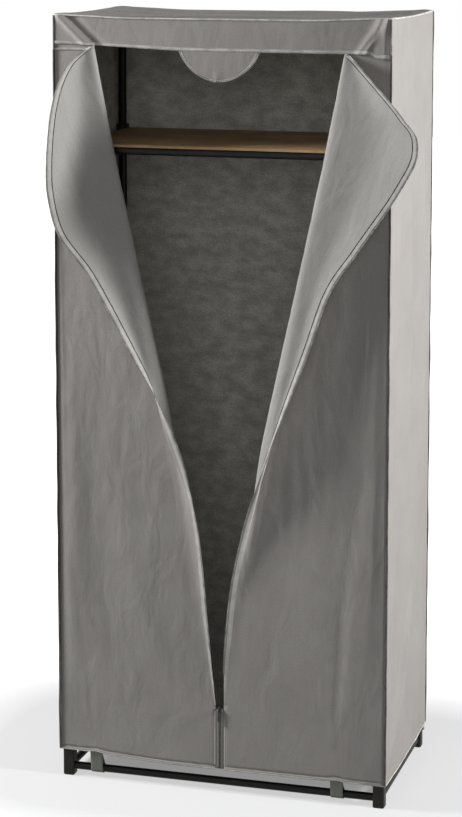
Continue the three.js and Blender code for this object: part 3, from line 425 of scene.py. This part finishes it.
# Near black. At the cover's corner seams these cords draw dark lines that are partly painted shade of the
# seams' recesses; along the lapels one draws a dark line by the tape.
dark_seam_and_painted_shade = trim_finish("dark seam piping with painted shade", (0.045, 0.043, 0.04), (0.085, 0.082, 0.077))
plain_piping = trim_finish("plain piping", (0.15, 0.145, 0.137), (0.27, 0.26, 0.247))
binding = trim_finish("binding", (0.3, 0.29, 0.275), (0.46, 0.445, 0.42), ribs=1400)
thread = trim_finish("thread", (0.66, 0.65, 0.62), (0.8, 0.79, 0.76), ribs=2500, depth=0.0001)


def mesh_piece(name, shape, finish, body="frame_and_cover"):
    """A solid trim from its finished shape."""
    for face in shape.faces:
        face.smooth = True
    mesh = bpy.data.meshes.new(name)
    shape.to_mesh(mesh)
    shape.free()
    mesh.materials.append(finish)
    piece = bpy.data.objects.new(name, mesh)
    scene.collection.objects.link(piece)
    if body:
        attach(piece, body)
    return piece


def piping(name, route, radius, finish, body="frame_and_cover", closed=False):
    """A round trim along a route of places."""
    line = bpy.data.curves.new(name, "CURVE")
    line.dimensions = "3D"
    line.bevel_depth = radius / 1000
    line.bevel_resolution = 1
    line.use_fill_caps = True
    spline = line.splines.new("POLY")
    spline.points.add(len(route) - 1)
    spline.use_cyclic_u = closed
    for point, place in zip(spline.points, route):
        point.co = (*place, 1)
    drawn = bpy.data.objects.new(name + "_line", line)
    scene.collection.objects.link(drawn)
    mesh = bpy.data.meshes.new_from_object(drawn)
    bpy.data.objects.remove(drawn)
    shape = bmesh.new()
    shape.from_mesh(mesh)
    bpy.data.meshes.remove(mesh)
    return mesh_piece(name, shape, finish, body)


def row_of(route, pitch):
    """Seats at an even pitch in millimetres along a route of places, each with the way it faces."""
    seats, run = [], 0.0
    for (here, facing), (there, _) in zip(route, route[1:]):
        length = (there - here).length * 1000
        while run < length:
            seats.append((here.lerp(there, run / length), there - here, facing))
            run += pitch
        run -= length
    return seats


def grains(name, seats, size, finish, body="frame_and_cover"):
    """Small rounded grains, such as stitches. A seat is a place, the grain's direction and the way
    it faces, and size is its length, width and height in millimetres."""
    shape = bmesh.new()
    for place, along, facing in seats:
        along = along.normalized()
        across = facing.cross(along).normalized()
        turn = Matrix((along, across, along.cross(across))).transposed().to_4x4()
        bmesh.ops.create_icosphere(shape, subdivisions=1, radius=0.0005,
                                   matrix=Matrix.Translation(place) @ turn @ Matrix.Diagonal((*size, 1)))
    return mesh_piece(name, shape, finish, body)


def roof_edge(x, y):
    """The middle of the piping, which is sunk a little below the roof's edge."""
    return at(x, y, cover_top - seam_sink - roof_drape(x, y))


front_edge = [roof_edge(between(-half_width, half_width, i / 120), -half_depth) for i in range(121)]
right_edge = [roof_edge(half_width, between(-half_depth, half_depth, i / 80)) for i in range(1, 81)]
back_edge = [roof_edge(between(half_width, -half_width, i / 120), half_depth) for i in range(1, 121)]
left_edge = [roof_edge(-half_width, between(half_depth, -half_depth, i / 80)) for i in range(1, 80)]
roof_piping = piping("roof_piping", front_edge + right_edge + back_edge + left_edge, 2.0, pale_piping_and_painted_highlight,
                     closed=True)

# Side panels: plain widths of the cover's cloth from the roof down to a bound hem. The tie straps
# pull the front corners down, which shows as long slanting folds near the floor.
hem_height, back_hem_height = 50.0, 33.0
hem_lift, hem_lift_length = 10, 270


def hem(from_corner):
    """The hem's height, this far from the front left corner."""
    return hem_height + hem_lift * (1 - smooth(from_corner, 0, hem_lift_length))


behind_cloth = 1.8  # a cloth's thickness and the gap behind it
under_roof = cover_top - behind_cloth
side_depth, side_height = 400, 1548
front_seam_top = 1529
side_folds = [
    ((0.62, 0.245), (0.04, 0.012), 14.0, 10), ((0.30, 0.42), (0.12, 0.12), 7.0, 9),
    ((0.86, 0.30), (0.60, 0.0), 8.0, 14), ((0.45, 0.95), (0.42, 0.3), 7.0, 30),
    ((0.75, 0.9), (0.80, 0.2), 8.0, 26), ((0.2, 0.9), (0.16, 0.5), 5.0, 18),
    ((0.6, 0.6), (0.62, 0.25), 5.0, 16),
]


def side_place(sx):
    def place(u, v):
        toward_back = u if sx > 0 else 1 - u
        y = between(-half_depth, half_depth, toward_back)
        foot = hem(y + half_depth) if sx < 0 else hem_height
        foot -= 4.5 * math.sin(math.pi * toward_back)
        z = between(foot, under_roof - roof_drape(half_width, y), v)
        swell = fold_rise(side_folds, side_depth, side_height, toward_back, v, fade=16)
        swell += puckers(y, z * 0.25, 40, 1.0, 5.0 + sx) * smooth(min(u, 1 - u), 0, 0.1)
        return sx * (half_width + swell), y, z
    return place


for side, sx in (("left", -1), ("right", 1)):
    panel = cloth_sheet(f"{side}_side_cloth", 90, 240, (side_depth, side_height), side_place(sx),
                        [outer_cloth, lining_with_painted_light], node=f"{side}_side_panel")
    hem_line = [at(*side_place(sx)(i / 60, 0)) + Vector((0, 0, 0.0008)) for i in range(61)]
    trims = [piping(f"{side}_side_hem_piping", hem_line, 1.7, pale_piping_and_painted_highlight)]
    for end, y in (("front", -half_depth - 0.2), ("back", half_depth - 0.4)):
        foot = hem(0) if sx < 0 and end == "front" else hem_height
        head = front_seam_top if end == "front" else cover_top - roof_drape(half_width, y) - seam_sink
        seam = []
        for k in range(91):
            z = between(foot + 1, head, k / 90)
            seam.append(at(sx * (half_width - 0.6 + 1.3 * noise.noise(Vector((z / 60, sx, y)))), y, z))
        trims.append(piping(f"{side}_{end}_seam", seam, 2.0 if end == "front" else 2.7, dark_seam_and_painted_shade))
        if end == "front":
            seam_of_front = seam
    # A pale cord on the side, just behind each front corner seam, is a painted highlight that stands in for the
    # lit side of the seam.
    painted_seam_highlight = [place + Vector((sx * 0.0006, 0.0028, 0)) for place in seam_of_front]
    trims.append(piping(f"{side}_corner_painted_highlight", painted_seam_highlight, 0.9, pale_piping_and_painted_highlight))
    corner_top = cover_top - roof_drape(half_width, -half_depth) - seam_sink
    seam_heights = [between(front_seam_top, corner_top, k / 10) for k in range(11)]
    beside_header = [at(sx * (half_width - 0.8), -half_depth - 0.2, z) for z in seam_heights]
    trims.append(piping(f"{side}_header_seam", beside_header, 1.7, plain_piping))

# Back panel: the widest piece of the cover, hanging straight down between the sides to just above
# the back base rail.
inner_half = half_width - behind_cloth
inner_width, back_height = 696, 1565
back_folds = [
    ((0.2, 0.95), (0.24, 0.05), 2.5, 45), ((0.55, 0.9), (0.5, 0.1), -1.6, 60),
    ((0.8, 0.9), (0.82, 0.05), 2.5, 45),
]


def back_place(u, v):
    x = between(inner_half, -inner_half, u)
    z = between(back_hem_height, under_roof - roof_drape(x, half_depth), v)
    swell = fold_rise(back_folds, 2 * inner_half, back_height, 1 - u, v)
    puckered = puckers(x, z * 0.4, 55, 0.9, 9.0) * smooth(min(u, 1 - u), 0, 0.1)
    return x, half_depth + swell + puckered, z


back = cloth_sheet("back_cloth", 100, 180, (inner_width, back_height), back_place, [outer_cloth, lining_with_painted_light],
                   node="back_panel")
hem_line = [at(*back_place(i / 80, 0)) for i in range(81)]
back_piping = piping("back_hem_piping", hem_line, 1.7, pale_piping_and_painted_highlight)

# Header: a strip of the cover's cloth across the top of the front. It hangs in front of the two
# front panels, and the pull of its corners creases it towards them.
header_height, header_cloth_height = 70.0, 68
header_bottom = cover_top - header_height
left_pull, left_pull_length = 11, 330
right_sag, right_sag_start, right_sag_end = 9, 45, 22
header_creases = [  # place at the top, place at the foot, rise and spread
    (8, 70, 9.0, 10), (36, 100, -4.0, 12), (682.4, 634.4, 6.0, 9), (676.4, 672.4, 3.0, 10),
]


def header_pull(x):
    """How far the header's lower edge is drawn up at x. At its right end it hangs lower instead."""
    place, width = x + inner_half, 2 * inner_half
    pull = left_pull * (1 - smooth(place, 0, left_pull_length))
    return pull - right_sag * smooth(place, width - right_sag_start, width - right_sag_end)


def header_place(u, v):
    width = 2 * inner_half
    x = between(-inner_half, inner_half, u)
    proud = sum(rise * math.exp(-(((u * width - between(foot, top, v)) / spread) ** 2))
                for top, foot, rise, spread in header_creases)
    proud *= smooth(min(u, 1 - u) * width, 0, 12)
    top = under_roof - roof_drape(x, -half_depth)
    return x, -half_depth - proud, between(header_bottom + header_pull(x), top, v)


header = cloth_sheet("header_cloth", 180, 24, (inner_width, header_cloth_height), header_place,
                     [outer_cloth, lining_with_painted_light], node="front_header")
front = Vector((0, -1, 0))
band_section = [(-2.2, 5.5), (-2.3, 0.6), (-1.2, -0.8), (0.1, -0.8), (0.8, 0.4), (0.8, 6.0), (0.1, 6.8)]


def header_band_place(u, v):
    """The binding's section runs up behind the header's lower edge, round it, and up in front."""
    proud, rise = band_section[round(v * 6)]
    x, y, z = header_place(u, max(rise, 0) / header_cloth_height)
    return x, y - proud, z + min(rise, 0)


header_band = cloth_sheet("header_binding", 180, 6, (inner_width, 16), header_band_place,
                          [binding, binding])
header_band.modifiers["cloth"].thickness = 0.0004
sewn = [(at(*header_place(i / 180, 3.4 / header_cloth_height)) + 0.0009 * front, front)
        for i in range(181)]
header_stitches = grains("header_stitches", row_of(sewn, 4.2), (3.0, 0.8, 0.5), thread)

# Flap: a half-round tab of two layers of the same cloth, bound and stitched twice round its rim.
# It hangs from the header's lower edge in front of the top end of the zip.
flap_width, flap_drop = 166.0, 61.0
flap_top = header_bottom - 0.3
flap_band_section = [(-1.9, 4.6), (-2.0, 0.4), (-0.8, -0.7), (0.4, -0.3), (0.6, 0.6), (0.6, 5.0), (0.1, 5.6)]


def flap_edge(t):
    """Half of the flap's rim, from its end on the header (t = 0) to its lowest point (t = 1)."""
    a, b = (flap_width / 2, 0.0), (0.455 * flap_width, -0.45 * flap_drop)
    c, d = (0.235 * flap_width, -flap_drop), (0.0, -flap_drop)
    k = 1 - t
    return tuple(k**3 * a[i] + 3 * k * k * t * b[i] + 3 * k * t * t * c[i] + t**3 * d[i] for i in (0, 1))


def flap_swell(x, z):
    """The rim's stitching draws the middle of the flap into a few soft puckers."""
    gather = 1.4 * math.exp(-(((x + 4) / 5) ** 2) - ((z + 50) / 14) ** 2)
    return gather + 0.5 * noise.noise(Vector((x / 9, z / 20, 2)))


def flap_place(u, v):
    across = 2 * u - 1
    x, z = flap_edge(1 - abs(across))
    x, z = math.copysign(x, across), z * (1 - v)
    return x, -half_depth - flap_swell(x, z) * smooth(-z, 0, 8), flap_top + z


def flap_rim(across, inset):
    """The flap's rim, -1 to 1 from its left to its right end, this far inside its edge."""
    x, z = flap_edge(1 - abs(across))
    rim = Vector((math.copysign(x, across), z))
    rim -= rim.normalized() * inset
    return rim.x, rim.y


def flap_band_place(u, v):
    """The binding's section goes round the flap's rim from behind to the front."""
    proud, inset = flap_band_section[round(v * 6)]
    x, z = flap_rim(2 * u - 1, inset)
    return x, -half_depth - proud - flap_swell(x, z), flap_top + min(z, 0)


flap = cloth_sheet("flap_cloth", 60, 24, (flap_width, flap_drop), flap_place, [outer_cloth, lining_with_painted_light],
                   body="header_flap", node="header_flap")
flap_band = cloth_sheet("flap_binding", 90, 6, (230, 14), flap_band_place, [plain_piping, plain_piping],
                        body="header_flap")
flap_band.modifiers["cloth"].thickness = 0.0004
flap_seats = []
for inset in (1.6, 4.3):
    rim = [flap_rim(i / 45 - 1, inset) for i in range(91)]
    flap_seats += row_of([(at(x, -half_depth - 0.75 - flap_swell(x, z), flap_top + z), front)
                          for x, z in rim if z < -0.5], 3.4)
flap_stitches = grains("flap_stitches", flap_seats, (2.5, 1.0, 0.8), thread, body="header_flap")

# Fronts: each half of the front is one piece of cloth with half of the zip sewn to its edge. Above
# the slider it is folded back, rolls round the fold and shows its inner side as a lapel, whose zip
# edge curls forward again.
door_face = -half_depth + behind_cloth
fold_bottom, zip_half = 178.0, 9.0
fold_roll = 4.5
door_top = header_bottom + 24
door_folds = {
    "left": [((0.16, 0.62), (0.1, 0.05), 3.0, 26), ((0.34, 0.5), (0.36, 0.02), -1.6, 40),
             ((0.62, 0.33), (0.6, 0.02), 2.0, 34), ((0.10, 0.30), (0.22, 0.0), -1.8, 11),
             ((0.05, 0.34), (0.17, 0.0), 1.4, 11), ((0.04, 0.85), (0.05, 0.3), 1.6, 9),
             ((0.3, 0.22), (0.25, 0.0), 1.0, 12)],
    "right": [((0.12, 0.62), (0.15, 0.1), 2.6, 22), ((0.42, 0.5), (0.4, 0.02), -1.6, 40),
              ((0.66, 0.33), (0.64, 0.02), 2.0, 34), ((0.30, 0.34), (0.30, 0.0), -1.8, 9),
              ((0.20, 0.36), (0.26, 0.0), 1.6, 13), ((0.12, 0.88), (0.11, 0.5), 1.5, 8),
              ((0.25, 0.74), (0.21, 0.45), 1.5, 8), ((0.37, 0.2), (0.33, 0.0), 1.0, 12)],
}
doors = {  # side: direction, top of the fold, bulge, where it turns over, reach, rise and zip edge
    "left": (-1, 268.0, 26.0, (0.28, 0.5), 123.0, 90.0, [
        (0, 0, 0), (0.1, 0.107, 0.056), (0.27, 0.305, 0.18), (0.36, 0.321, 0.31), (0.44, 0.194, 0.42),
        (0.55, -0.2, 0.47), (0.67, -0.63, 0.6), (0.75, -1, 0.78), (0.8, -0.98, 0.93),
        (0.84, -0.89, 1), (0.91, -0.68, 0.93), (0.97, -0.41, 0.53), (1, 0, 0)]),
    "right": (1, 262.0, 19.0, (0.2, 0.42), 186.0, 68.0, [
        (0, 0, 0), (0.1, 0.117, 0.05), (0.19, 0.165, 0.1), (0.29, 0.133, 0.25), (0.36, 0.05, 0.41),
        (0.45, -0.06, 0.53), (0.57, -0.22, 0.47), (0.65, -0.31, 0.49), (0.73, -0.55, 0.56),
        (0.83, -0.88, 0.76), (0.885, -1, 0.99), (0.902, -0.98, 1), (0.93, -0.78, 0.88),
        (0.975, -0.3, 0.4), (1, 0, 0)]),
}


def through(points, t):
    """The place at t, 0 to 1, on a smooth curve through these points."""
    place = t * (len(points) - 1)
    i = min(int(place), len(points) - 2)
    t = place - i
    p1, p2 = points[i], points[i + 1]
    p0 = points[i - 1] if i else 2 * p1 - p2
    p3 = points[i + 2] if i + 2 < len(points) else 2 * p2 - p1
    d1 = max((p2 - p1).length ** 0.5, 1e-4)
    d0 = (p1 - p0).length ** 0.5 or d1
    d2 = (p3 - p2).length ** 0.5 or d1
    m1 = ((p1 - p0) / d0 - (p2 - p0) / (d0 + d1) + (p2 - p1) / d1) * d1
    m2 = ((p2 - p1) / d1 - (p3 - p1) / (d1 + d2) + (p3 - p2) / d2) * d1
    return p1 + m1 * t + (3 * (p2 - p1) - 2 * m1 - m2) * t * t + (2 * (p1 - p2) + m1 + m2) * t**3


zip_tape = woven("zip tape", (0.235, 0.23, 0.212), (0.31, 0.302, 0.282), 0.0009, 0.0006)
lapel_tape = trim_finish("tape along the lapel", (0.36, 0.35, 0.332), (0.46, 0.45, 0.425),
                         ribs=420, depth=0.0007)
lapel_zip_teeth = trim_finish("teeth along the lapel", (0.12, 0.117, 0.11), (0.3, 0.29, 0.275), roughness=0.5)
# The closed zip's teeth are near black, far darker than the same teeth along the lapels: the extra darkness is
# painted shade of the slot between the closed tapes.
zip_teeth = trim_finish("zip teeth with painted slot shade", (0.012, 0.0115, 0.0105), (0.035, 0.033, 0.03), roughness=0.5)
# Dark thread. In the groove above the front hem its dark tone also paints the groove's shade.
dark_thread_and_groove_shade = trim_finish("dark thread, also painted groove shade", (0.12, 0.115, 0.11), (0.2, 0.195, 0.185), ribs=2500, depth=0.0001)
zip_tape_width, tooth_pitch = 12.0, 2.4
lapel_columns, lapel_rows, tape_columns, panel_columns = 28, 170, 3, 40
curve_steps = 80
plain_turn = ((0, 0), (0.3, 0.08), (0.55, 0.27), (0.76, 0.52), (0.9, 0.77), (1, 1))
rows_below = (0, 1.5, 3, 4.5, 6, 7.5, 9, 11, 15, 22, 32, 44, 58, 72, 86, 100, 114)
strap_places, strap_gather, gather_spread = {"left": -271.0, "right": 247.0}, 3.0, 14


def gathered_by_strap(side, x):
    """How far the hem stands above its place where it is gathered over the strap."""
    return strap_gather * math.exp(-(((x - strap_places[side]) / gather_spread) ** 2))


for side, (sx, fold_top, bulge, turns_over, reach, most_rise, edge) in doors.items():
    fold_top_height = header_bottom + header_pull(sx * fold_top)
    fold_low = Vector((sx * zip_half, door_face, fold_bottom))
    fold_high = Vector((sx * fold_top, door_face, fold_top_height))
    fold_up = (fold_high - fold_low).normalized()
    inward = fold_up.cross(Vector((0, -1, 0))) * -sx
    edge_points = [Vector((share, across * reach, rise * most_rise)) for share, across, rise in edge]

    def lapel_row(v):
        """One row of the lapel: its share of the fold, its places from there to the zip edge, and how
        far along the cloth each of them lies."""
        share, across, rise = through(edge_points, v)
        share = min(max(share, 0), 1)
        folded = smooth(share, *turns_over)
        belly = fold_roll + bulge * math.sin(math.pi * share**0.6) ** 2
        lift = min(1.4 * fold_roll + 0.8 * belly, 0.9 * rise + 1)
        turned = [(a * across, r * rise) for a, r in plain_turn]
        rolled = [(0, 0), (0.8 * belly, 0.14 * lift), (0.9 * belly, 0.62 * lift), (0.25 * belly, lift),
                  (0.5 * across, between(lift, rise, 0.22)), (across, rise)]
        row = [Vector((between(a[0], b[0], folded), between(a[1], b[1], folded), 0))
               for a, b in zip(turned, rolled)]
        fine = [through(row, i / curve_steps) for i in range(curve_steps + 1)]
        lengths = [0.0]
        for a, b in zip(fine, fine[1:]):
            lengths.append(lengths[-1] + (b - a).length)
        tape = min(zip_tape_width, lengths[-1] / 2)
        plain_columns = lapel_columns - tape_columns
        stops = [(lengths[-1] - tape) * i / plain_columns for i in range(plain_columns + 1)]
        stops += [lengths[-1] - tape * 2 / 3, lengths[-1] - tape / 3, lengths[-1]]
        places, step = [], 0
        for stop in stops:
            while step < curve_steps - 1 and lengths[step + 1] < stop:
                step += 1
            gap = lengths[step + 1] - lengths[step]
            near = fine[step].lerp(fine[step + 1], (stop - lengths[step]) / gap if gap else 0)
            places.append(fold_low.lerp(fold_high, share) + inward * near.x + Vector((0, -near.y, 0)))
        return share, places, stops

    rows = [lapel_row(i / lapel_rows) for i in range(lapel_rows + 1)]
    shares = [row[0] for row in rows]

    # The panel has the same rows beside the fold, and some more below and above it
    heights = [hem_height + rise for rise in rows_below]
    heights += [between(fold_bottom, fold_top_height, share) for share in shares]
    heights += [between(fold_top_height, door_top, i / 3) for i in range(1, 4)]
    shape = bmesh.new()
    bmesh.ops.create_grid(shape, x_segments=panel_columns, y_segments=len(heights) - 1, size=1)
    door_height = door_top - hem_height
    flat_places = {}
    for vert in shape.verts:
        u, row = (vert.co.x + 1) / 2, round((vert.co.y + 1) / 2 * (len(heights) - 1))
        u = 1 - u if sx > 0 else u
        z = heights[row]
        share = min(max((z - fold_bottom) / (fold_top_height - fold_bottom), 0), 1)
        inner = sx * between(zip_half, fold_top, share)
        x = between(sx * inner_half, inner, u)
        above_hem, from_seam = z - hem_height, min(u, 1 - u)
        swell = fold_rise(door_folds[side], inner_half, door_height, u, above_hem / door_height, fade=14)
        swell += abs(puckers(x, z * 0.3, 34, 1.2, 13.0 + sx)) * smooth(from_seam, 0, 0.15)
        rolled_hem = 0.9 + puckers(x, 0, 12, 1.2, 4.0)
        swell += rolled_hem * (1 - smooth(above_hem, 3, 9)) * smooth(from_seam, 0, 0.03)
        swell -= 1.6 * math.exp(-(((above_hem - 6) / 1.5) ** 2))
        near_hem = 1 - smooth(z, hem_height, fold_bottom)
        z += (hem(x + inner_half) - hem_height) * near_hem
        z += gathered_by_strap(side, x) * near_hem**3
        vert.co = Vector((x, door_face - swell, z))
        flat_places[vert] = (x, z)
    panel_verts = set(shape.verts)
    bmesh.ops.create_grid(shape, x_segments=lapel_columns, y_segments=lapel_rows, size=1)
    tape_faces = [face for face in shape.faces if face.verts[0] not in panel_verts
                  and max(vert.co.x for vert in face.verts) > 1 - 2 * (tape_columns - 0.5) / lapel_columns]
    for vert in shape.verts:
        if vert in panel_verts:
            continue
        column, row = round((vert.co.x + 1) / 2 * lapel_columns), round((vert.co.y + 1) / 2 * lapel_rows)
        share, places, stops = rows[row]
        flat_x = between(sx * zip_half, sx * fold_top, share) + inward.x * stops[column]
        flat_z = between(fold_bottom, fold_top_height, share) + inward.z * stops[column]
        vert.co = places[column]
        flat_places[vert] = (flat_x, flat_z)
    for face in tape_faces:
        face.material_index = 2
    laid_out = shape.loops.layers.uv.new("cloth")
    for face in shape.faces:
        face.smooth = True
        for loop in face.loops:
            loop[laid_out].uv = tuple(c / 1000 for c in flat_places[loop.vert])
    bmesh.ops.remove_doubles(shape, verts=shape.verts, dist=0.02)
    bmesh.ops.recalc_face_normals(shape, faces=shape.faces)
    lowest = min(shape.faces, key=lambda face: face.calc_center_median().z)
    if lowest.normal.y > 0:
        bmesh.ops.reverse_faces(shape, faces=shape.faces)
    for vert in shape.verts:
        vert.co = at(*vert.co)
    piece = cloth_piece(f"{side}_front_cloth", shape, [outer_cloth, lapel_inside, lapel_tape, lapel_tape],
                        body=None)
    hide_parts(f"{side}_front_panel", f"{side}_lapel")

    # A near-black cord, which draws a dark line where the tape is sewn on, and the zip's teeth follow the
    # lapel's edge
    dark_line_route, tooth_seats = [], []
    for i in range(2, lapel_rows - 1):
        before, row, after = rows[i - 1][1], rows[i][1], rows[i + 1][1]
        if (row[-1] - row[0]).length < 12:
            continue
        along, across = (after[-1] - before[-1]).normalized(), (row[-1] - row[-3]).normalized()
        inside = across.cross(along).normalized() * sx
        dark_line_route.append((at(*(row[lapel_columns - tape_columns] + inside * 1.75)), inside))
        tooth_seats.append((at(*(row[-1] + inside * 0.75 + across * 0.7)), across, inside))
    lapel_tape_dark_line = piping(f"{side}_lapel_tape_dark_line", [place for place, inside in dark_line_route], 0.8,
                            dark_seam_and_painted_shade, body=None)
    edge = [(place, inside) for place, across, inside in tooth_seats]
    ways = [across for place, across, inside in tooth_seats]
    teeth = []
    for place, along, inside in row_of(edge, tooth_pitch):
        nearest = min(range(len(edge)), key=lambda k: (edge[k][0] - place).length_squared)
        teeth.append((place, ways[nearest], inside))
    lapel_teeth = grains(f"{side}_lapel_teeth", teeth, (3.4, 1.7, 3.0), lapel_zip_teeth, body=None)
    lapel_cord = piping(f"{side}_lapel_coil", [place for place, inside in edge], 1.0, lapel_zip_teeth,
                        body=None)
    for part in (piece, lapel_tape_dark_line, lapel_teeth, lapel_cord):
        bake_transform(part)

    # Below the slider: half of the closed zip, sewn behind the panel's edge
    zip_plane = door_face + 0.75

    def tape_place(u, v):
        x, z = sx * between(0.1, zip_half + 2, u), between(hem_height + 0.5, fold_bottom, v)
        return x, zip_plane + 1.2 * smooth(u, 0.5, 0.8), z

    tape = cloth_sheet(f"{side}_zip_tape_cloth", 8, 24, (11, 128), tape_place, [zip_tape, zip_tape],
                       node=f"{side}_zip_tape")
    tape.modifiers["cloth"].thickness = 0.0009
    tape.modifiers["cloth"].offset = 0
    stagger = tooth_pitch / 2 if sx > 0 else 0
    # These near-black teeth fill the slot between the tapes, and their darkness is partly painted shade of that
    # slot.
    closed = [(at(sx * 1.3, zip_plane, z), Vector((sx, 0, 0)), front)
              for z in [hem_height + 1.2 + tooth_pitch * k + stagger for k in range(52)]]
    closed_teeth_and_slot_shade = grains(f"{side}_zip_teeth", closed, (3.6, 1.9, 2.6), zip_teeth)
    sewn = [(at(sx * (zip_half + 2.6), door_face - 0.35, z), front)
            for z in [between(hem_height + 8, fold_bottom - 6, i / 10) for i in range(11)]]
    zip_stitches = grains(f"{side}_zip_stitches", row_of(sewn, 4.0), (3.0, 0.8, 0.6), dark_thread_and_groove_shade)

    # The hem is rolled over a thin cord
    hem_line = []
    for i in range(81):
        x = sx * between(zip_half + 0.5, inner_half + 1.5, i / 80)
        proud = 0.9 + 0.5 * puckers(x, 0, 12, 1.2, 4.0)
        hem_line.append(at(x, door_face - proud, hem(x + inner_half) + gathered_by_strap(side, x) - 0.3))
    hem_piping = piping(f"{side}_front_hem_piping", hem_line, 1.3, front_hem_cloth)
    # The row of dark stitches in the groove above the hem also paints that groove's shade.
    sewn = [(place + Vector((0, 0.0007, 0.0062)), front) for place in hem_line[1:-1]]
    hem_stitches_and_groove_shade = grains(f"{side}_hem_stitches_and_groove_shade", row_of(sewn, 3.8), (3.2, 1.0, 0.6), dark_thread_and_groove_shade)
    trims = [lapel_tape_dark_line, lapel_teeth, lapel_cord, tape, closed_teeth_and_slot_shade, zip_stitches, hem_piping,
             hem_stitches_and_groove_shade]

    # The left panel's top edge is turned over a stay tape, which shows under the header's lifted end
    if side == "left":
        def stay_place(u, v):
            proud = 0.9 + 0.7 * math.sin(math.pi * v)
            return between(-348, -273, u), door_face - proud, between(1527.5, 1533, v)

        stay = cloth_sheet("left_front_stay", 24, 4, (75, 6), stay_place, [binding, binding])
        stay.modifiers["cloth"].thickness = 0.0005
        sewn = [(at(between(-347, -274, i / 20), door_face - 1.8, 1530.2), front) for i in range(21)]
        trims += [stay, grains("left_front_stay_stitches", row_of(sewn, 4.2), (3.0, 0.8, 0.5), thread)]

# Zip slider and pull: small die-cast zinc pieces with a black finish that has worn a little. The
# slider is threaded onto both rows of teeth, and the pull's eye is caught under its bridge.
black_zinc, zinc_shader = finish_of("black zinc", (0.03, 0.029, 0.028), 0.34, metallic=0.6)
places = object_places(black_zinc)
casting = add_node(black_zinc, "TexNoise", {"Vector": places, "Scale": 500, "Detail": 5})
black_zinc.node_tree.links.new(
    shades(black_zinc, casting, (0.018, 0.017, 0.016), (0.075, 0.072, 0.068), 0.45, 0.8),
    zinc_shader.inputs["Base Color"])
black_zinc.node_tree.links.new(levels(black_zinc, casting, 0.26, 0.48), zinc_shader.inputs["Roughness"])
coat(black_zinc, "zip_slider", "zip_pull")

# Tie straps: loops of flat woven webbing, sewn behind the front hem, that hold the cover down to the
# front base rail.
webbing = woven("strap webbing", (0.225, 0.235, 0.205), (0.285, 0.295, 0.262), 0.0016, 0.0006)
strap_width, strap_overlap, strap_drop = 26.0, 14, 3
strap_plane, rail_y, rail_z, rail_radius = -194.9, -182.1, 19.0, 9.1


def strap_section(foot):
    """The strap's places from its front end behind the hem, round the rail and up to its back end."""
    top, apex = foot + strap_overlap, foot - strap_drop
    reach = math.hypot(strap_plane - rail_y, apex - rail_z)
    toward = math.atan2(apex - rail_z, strap_plane - rail_y)
    turn = math.acos(rail_radius / reach)
    touch, leave = toward + turn, toward - turn + 2 * math.pi
    section = [(strap_plane - 0.8, top), (strap_plane - 0.8, apex + 4), (strap_plane - 0.5, apex)]
    section += [(rail_y + rail_radius * math.cos(a), rail_z + rail_radius * math.sin(a))
                for a in [between(touch, leave, i / 20) for i in range(21)]]
    return section + [(strap_plane + 0.5, apex), (strap_plane + 0.8, apex + 4), (strap_plane + 0.8, top)]


for side, x in strap_places.items():
    section = strap_section(hem(x + half_width))

    def strap_place(u, v):
        y, z = section[round(v * (len(section) - 1))]
        return x + strap_width * (u - 0.5), y, z

    strap = cloth_sheet(f"{side}_strap_webbing", 8, len(section) - 1, (strap_width, 120), strap_place,
                        [webbing, webbing], node=f"{side}_tie_strap")
    strap.modifiers["cloth"].thickness = 0.0013
    strap.modifiers["cloth"].offset = 0
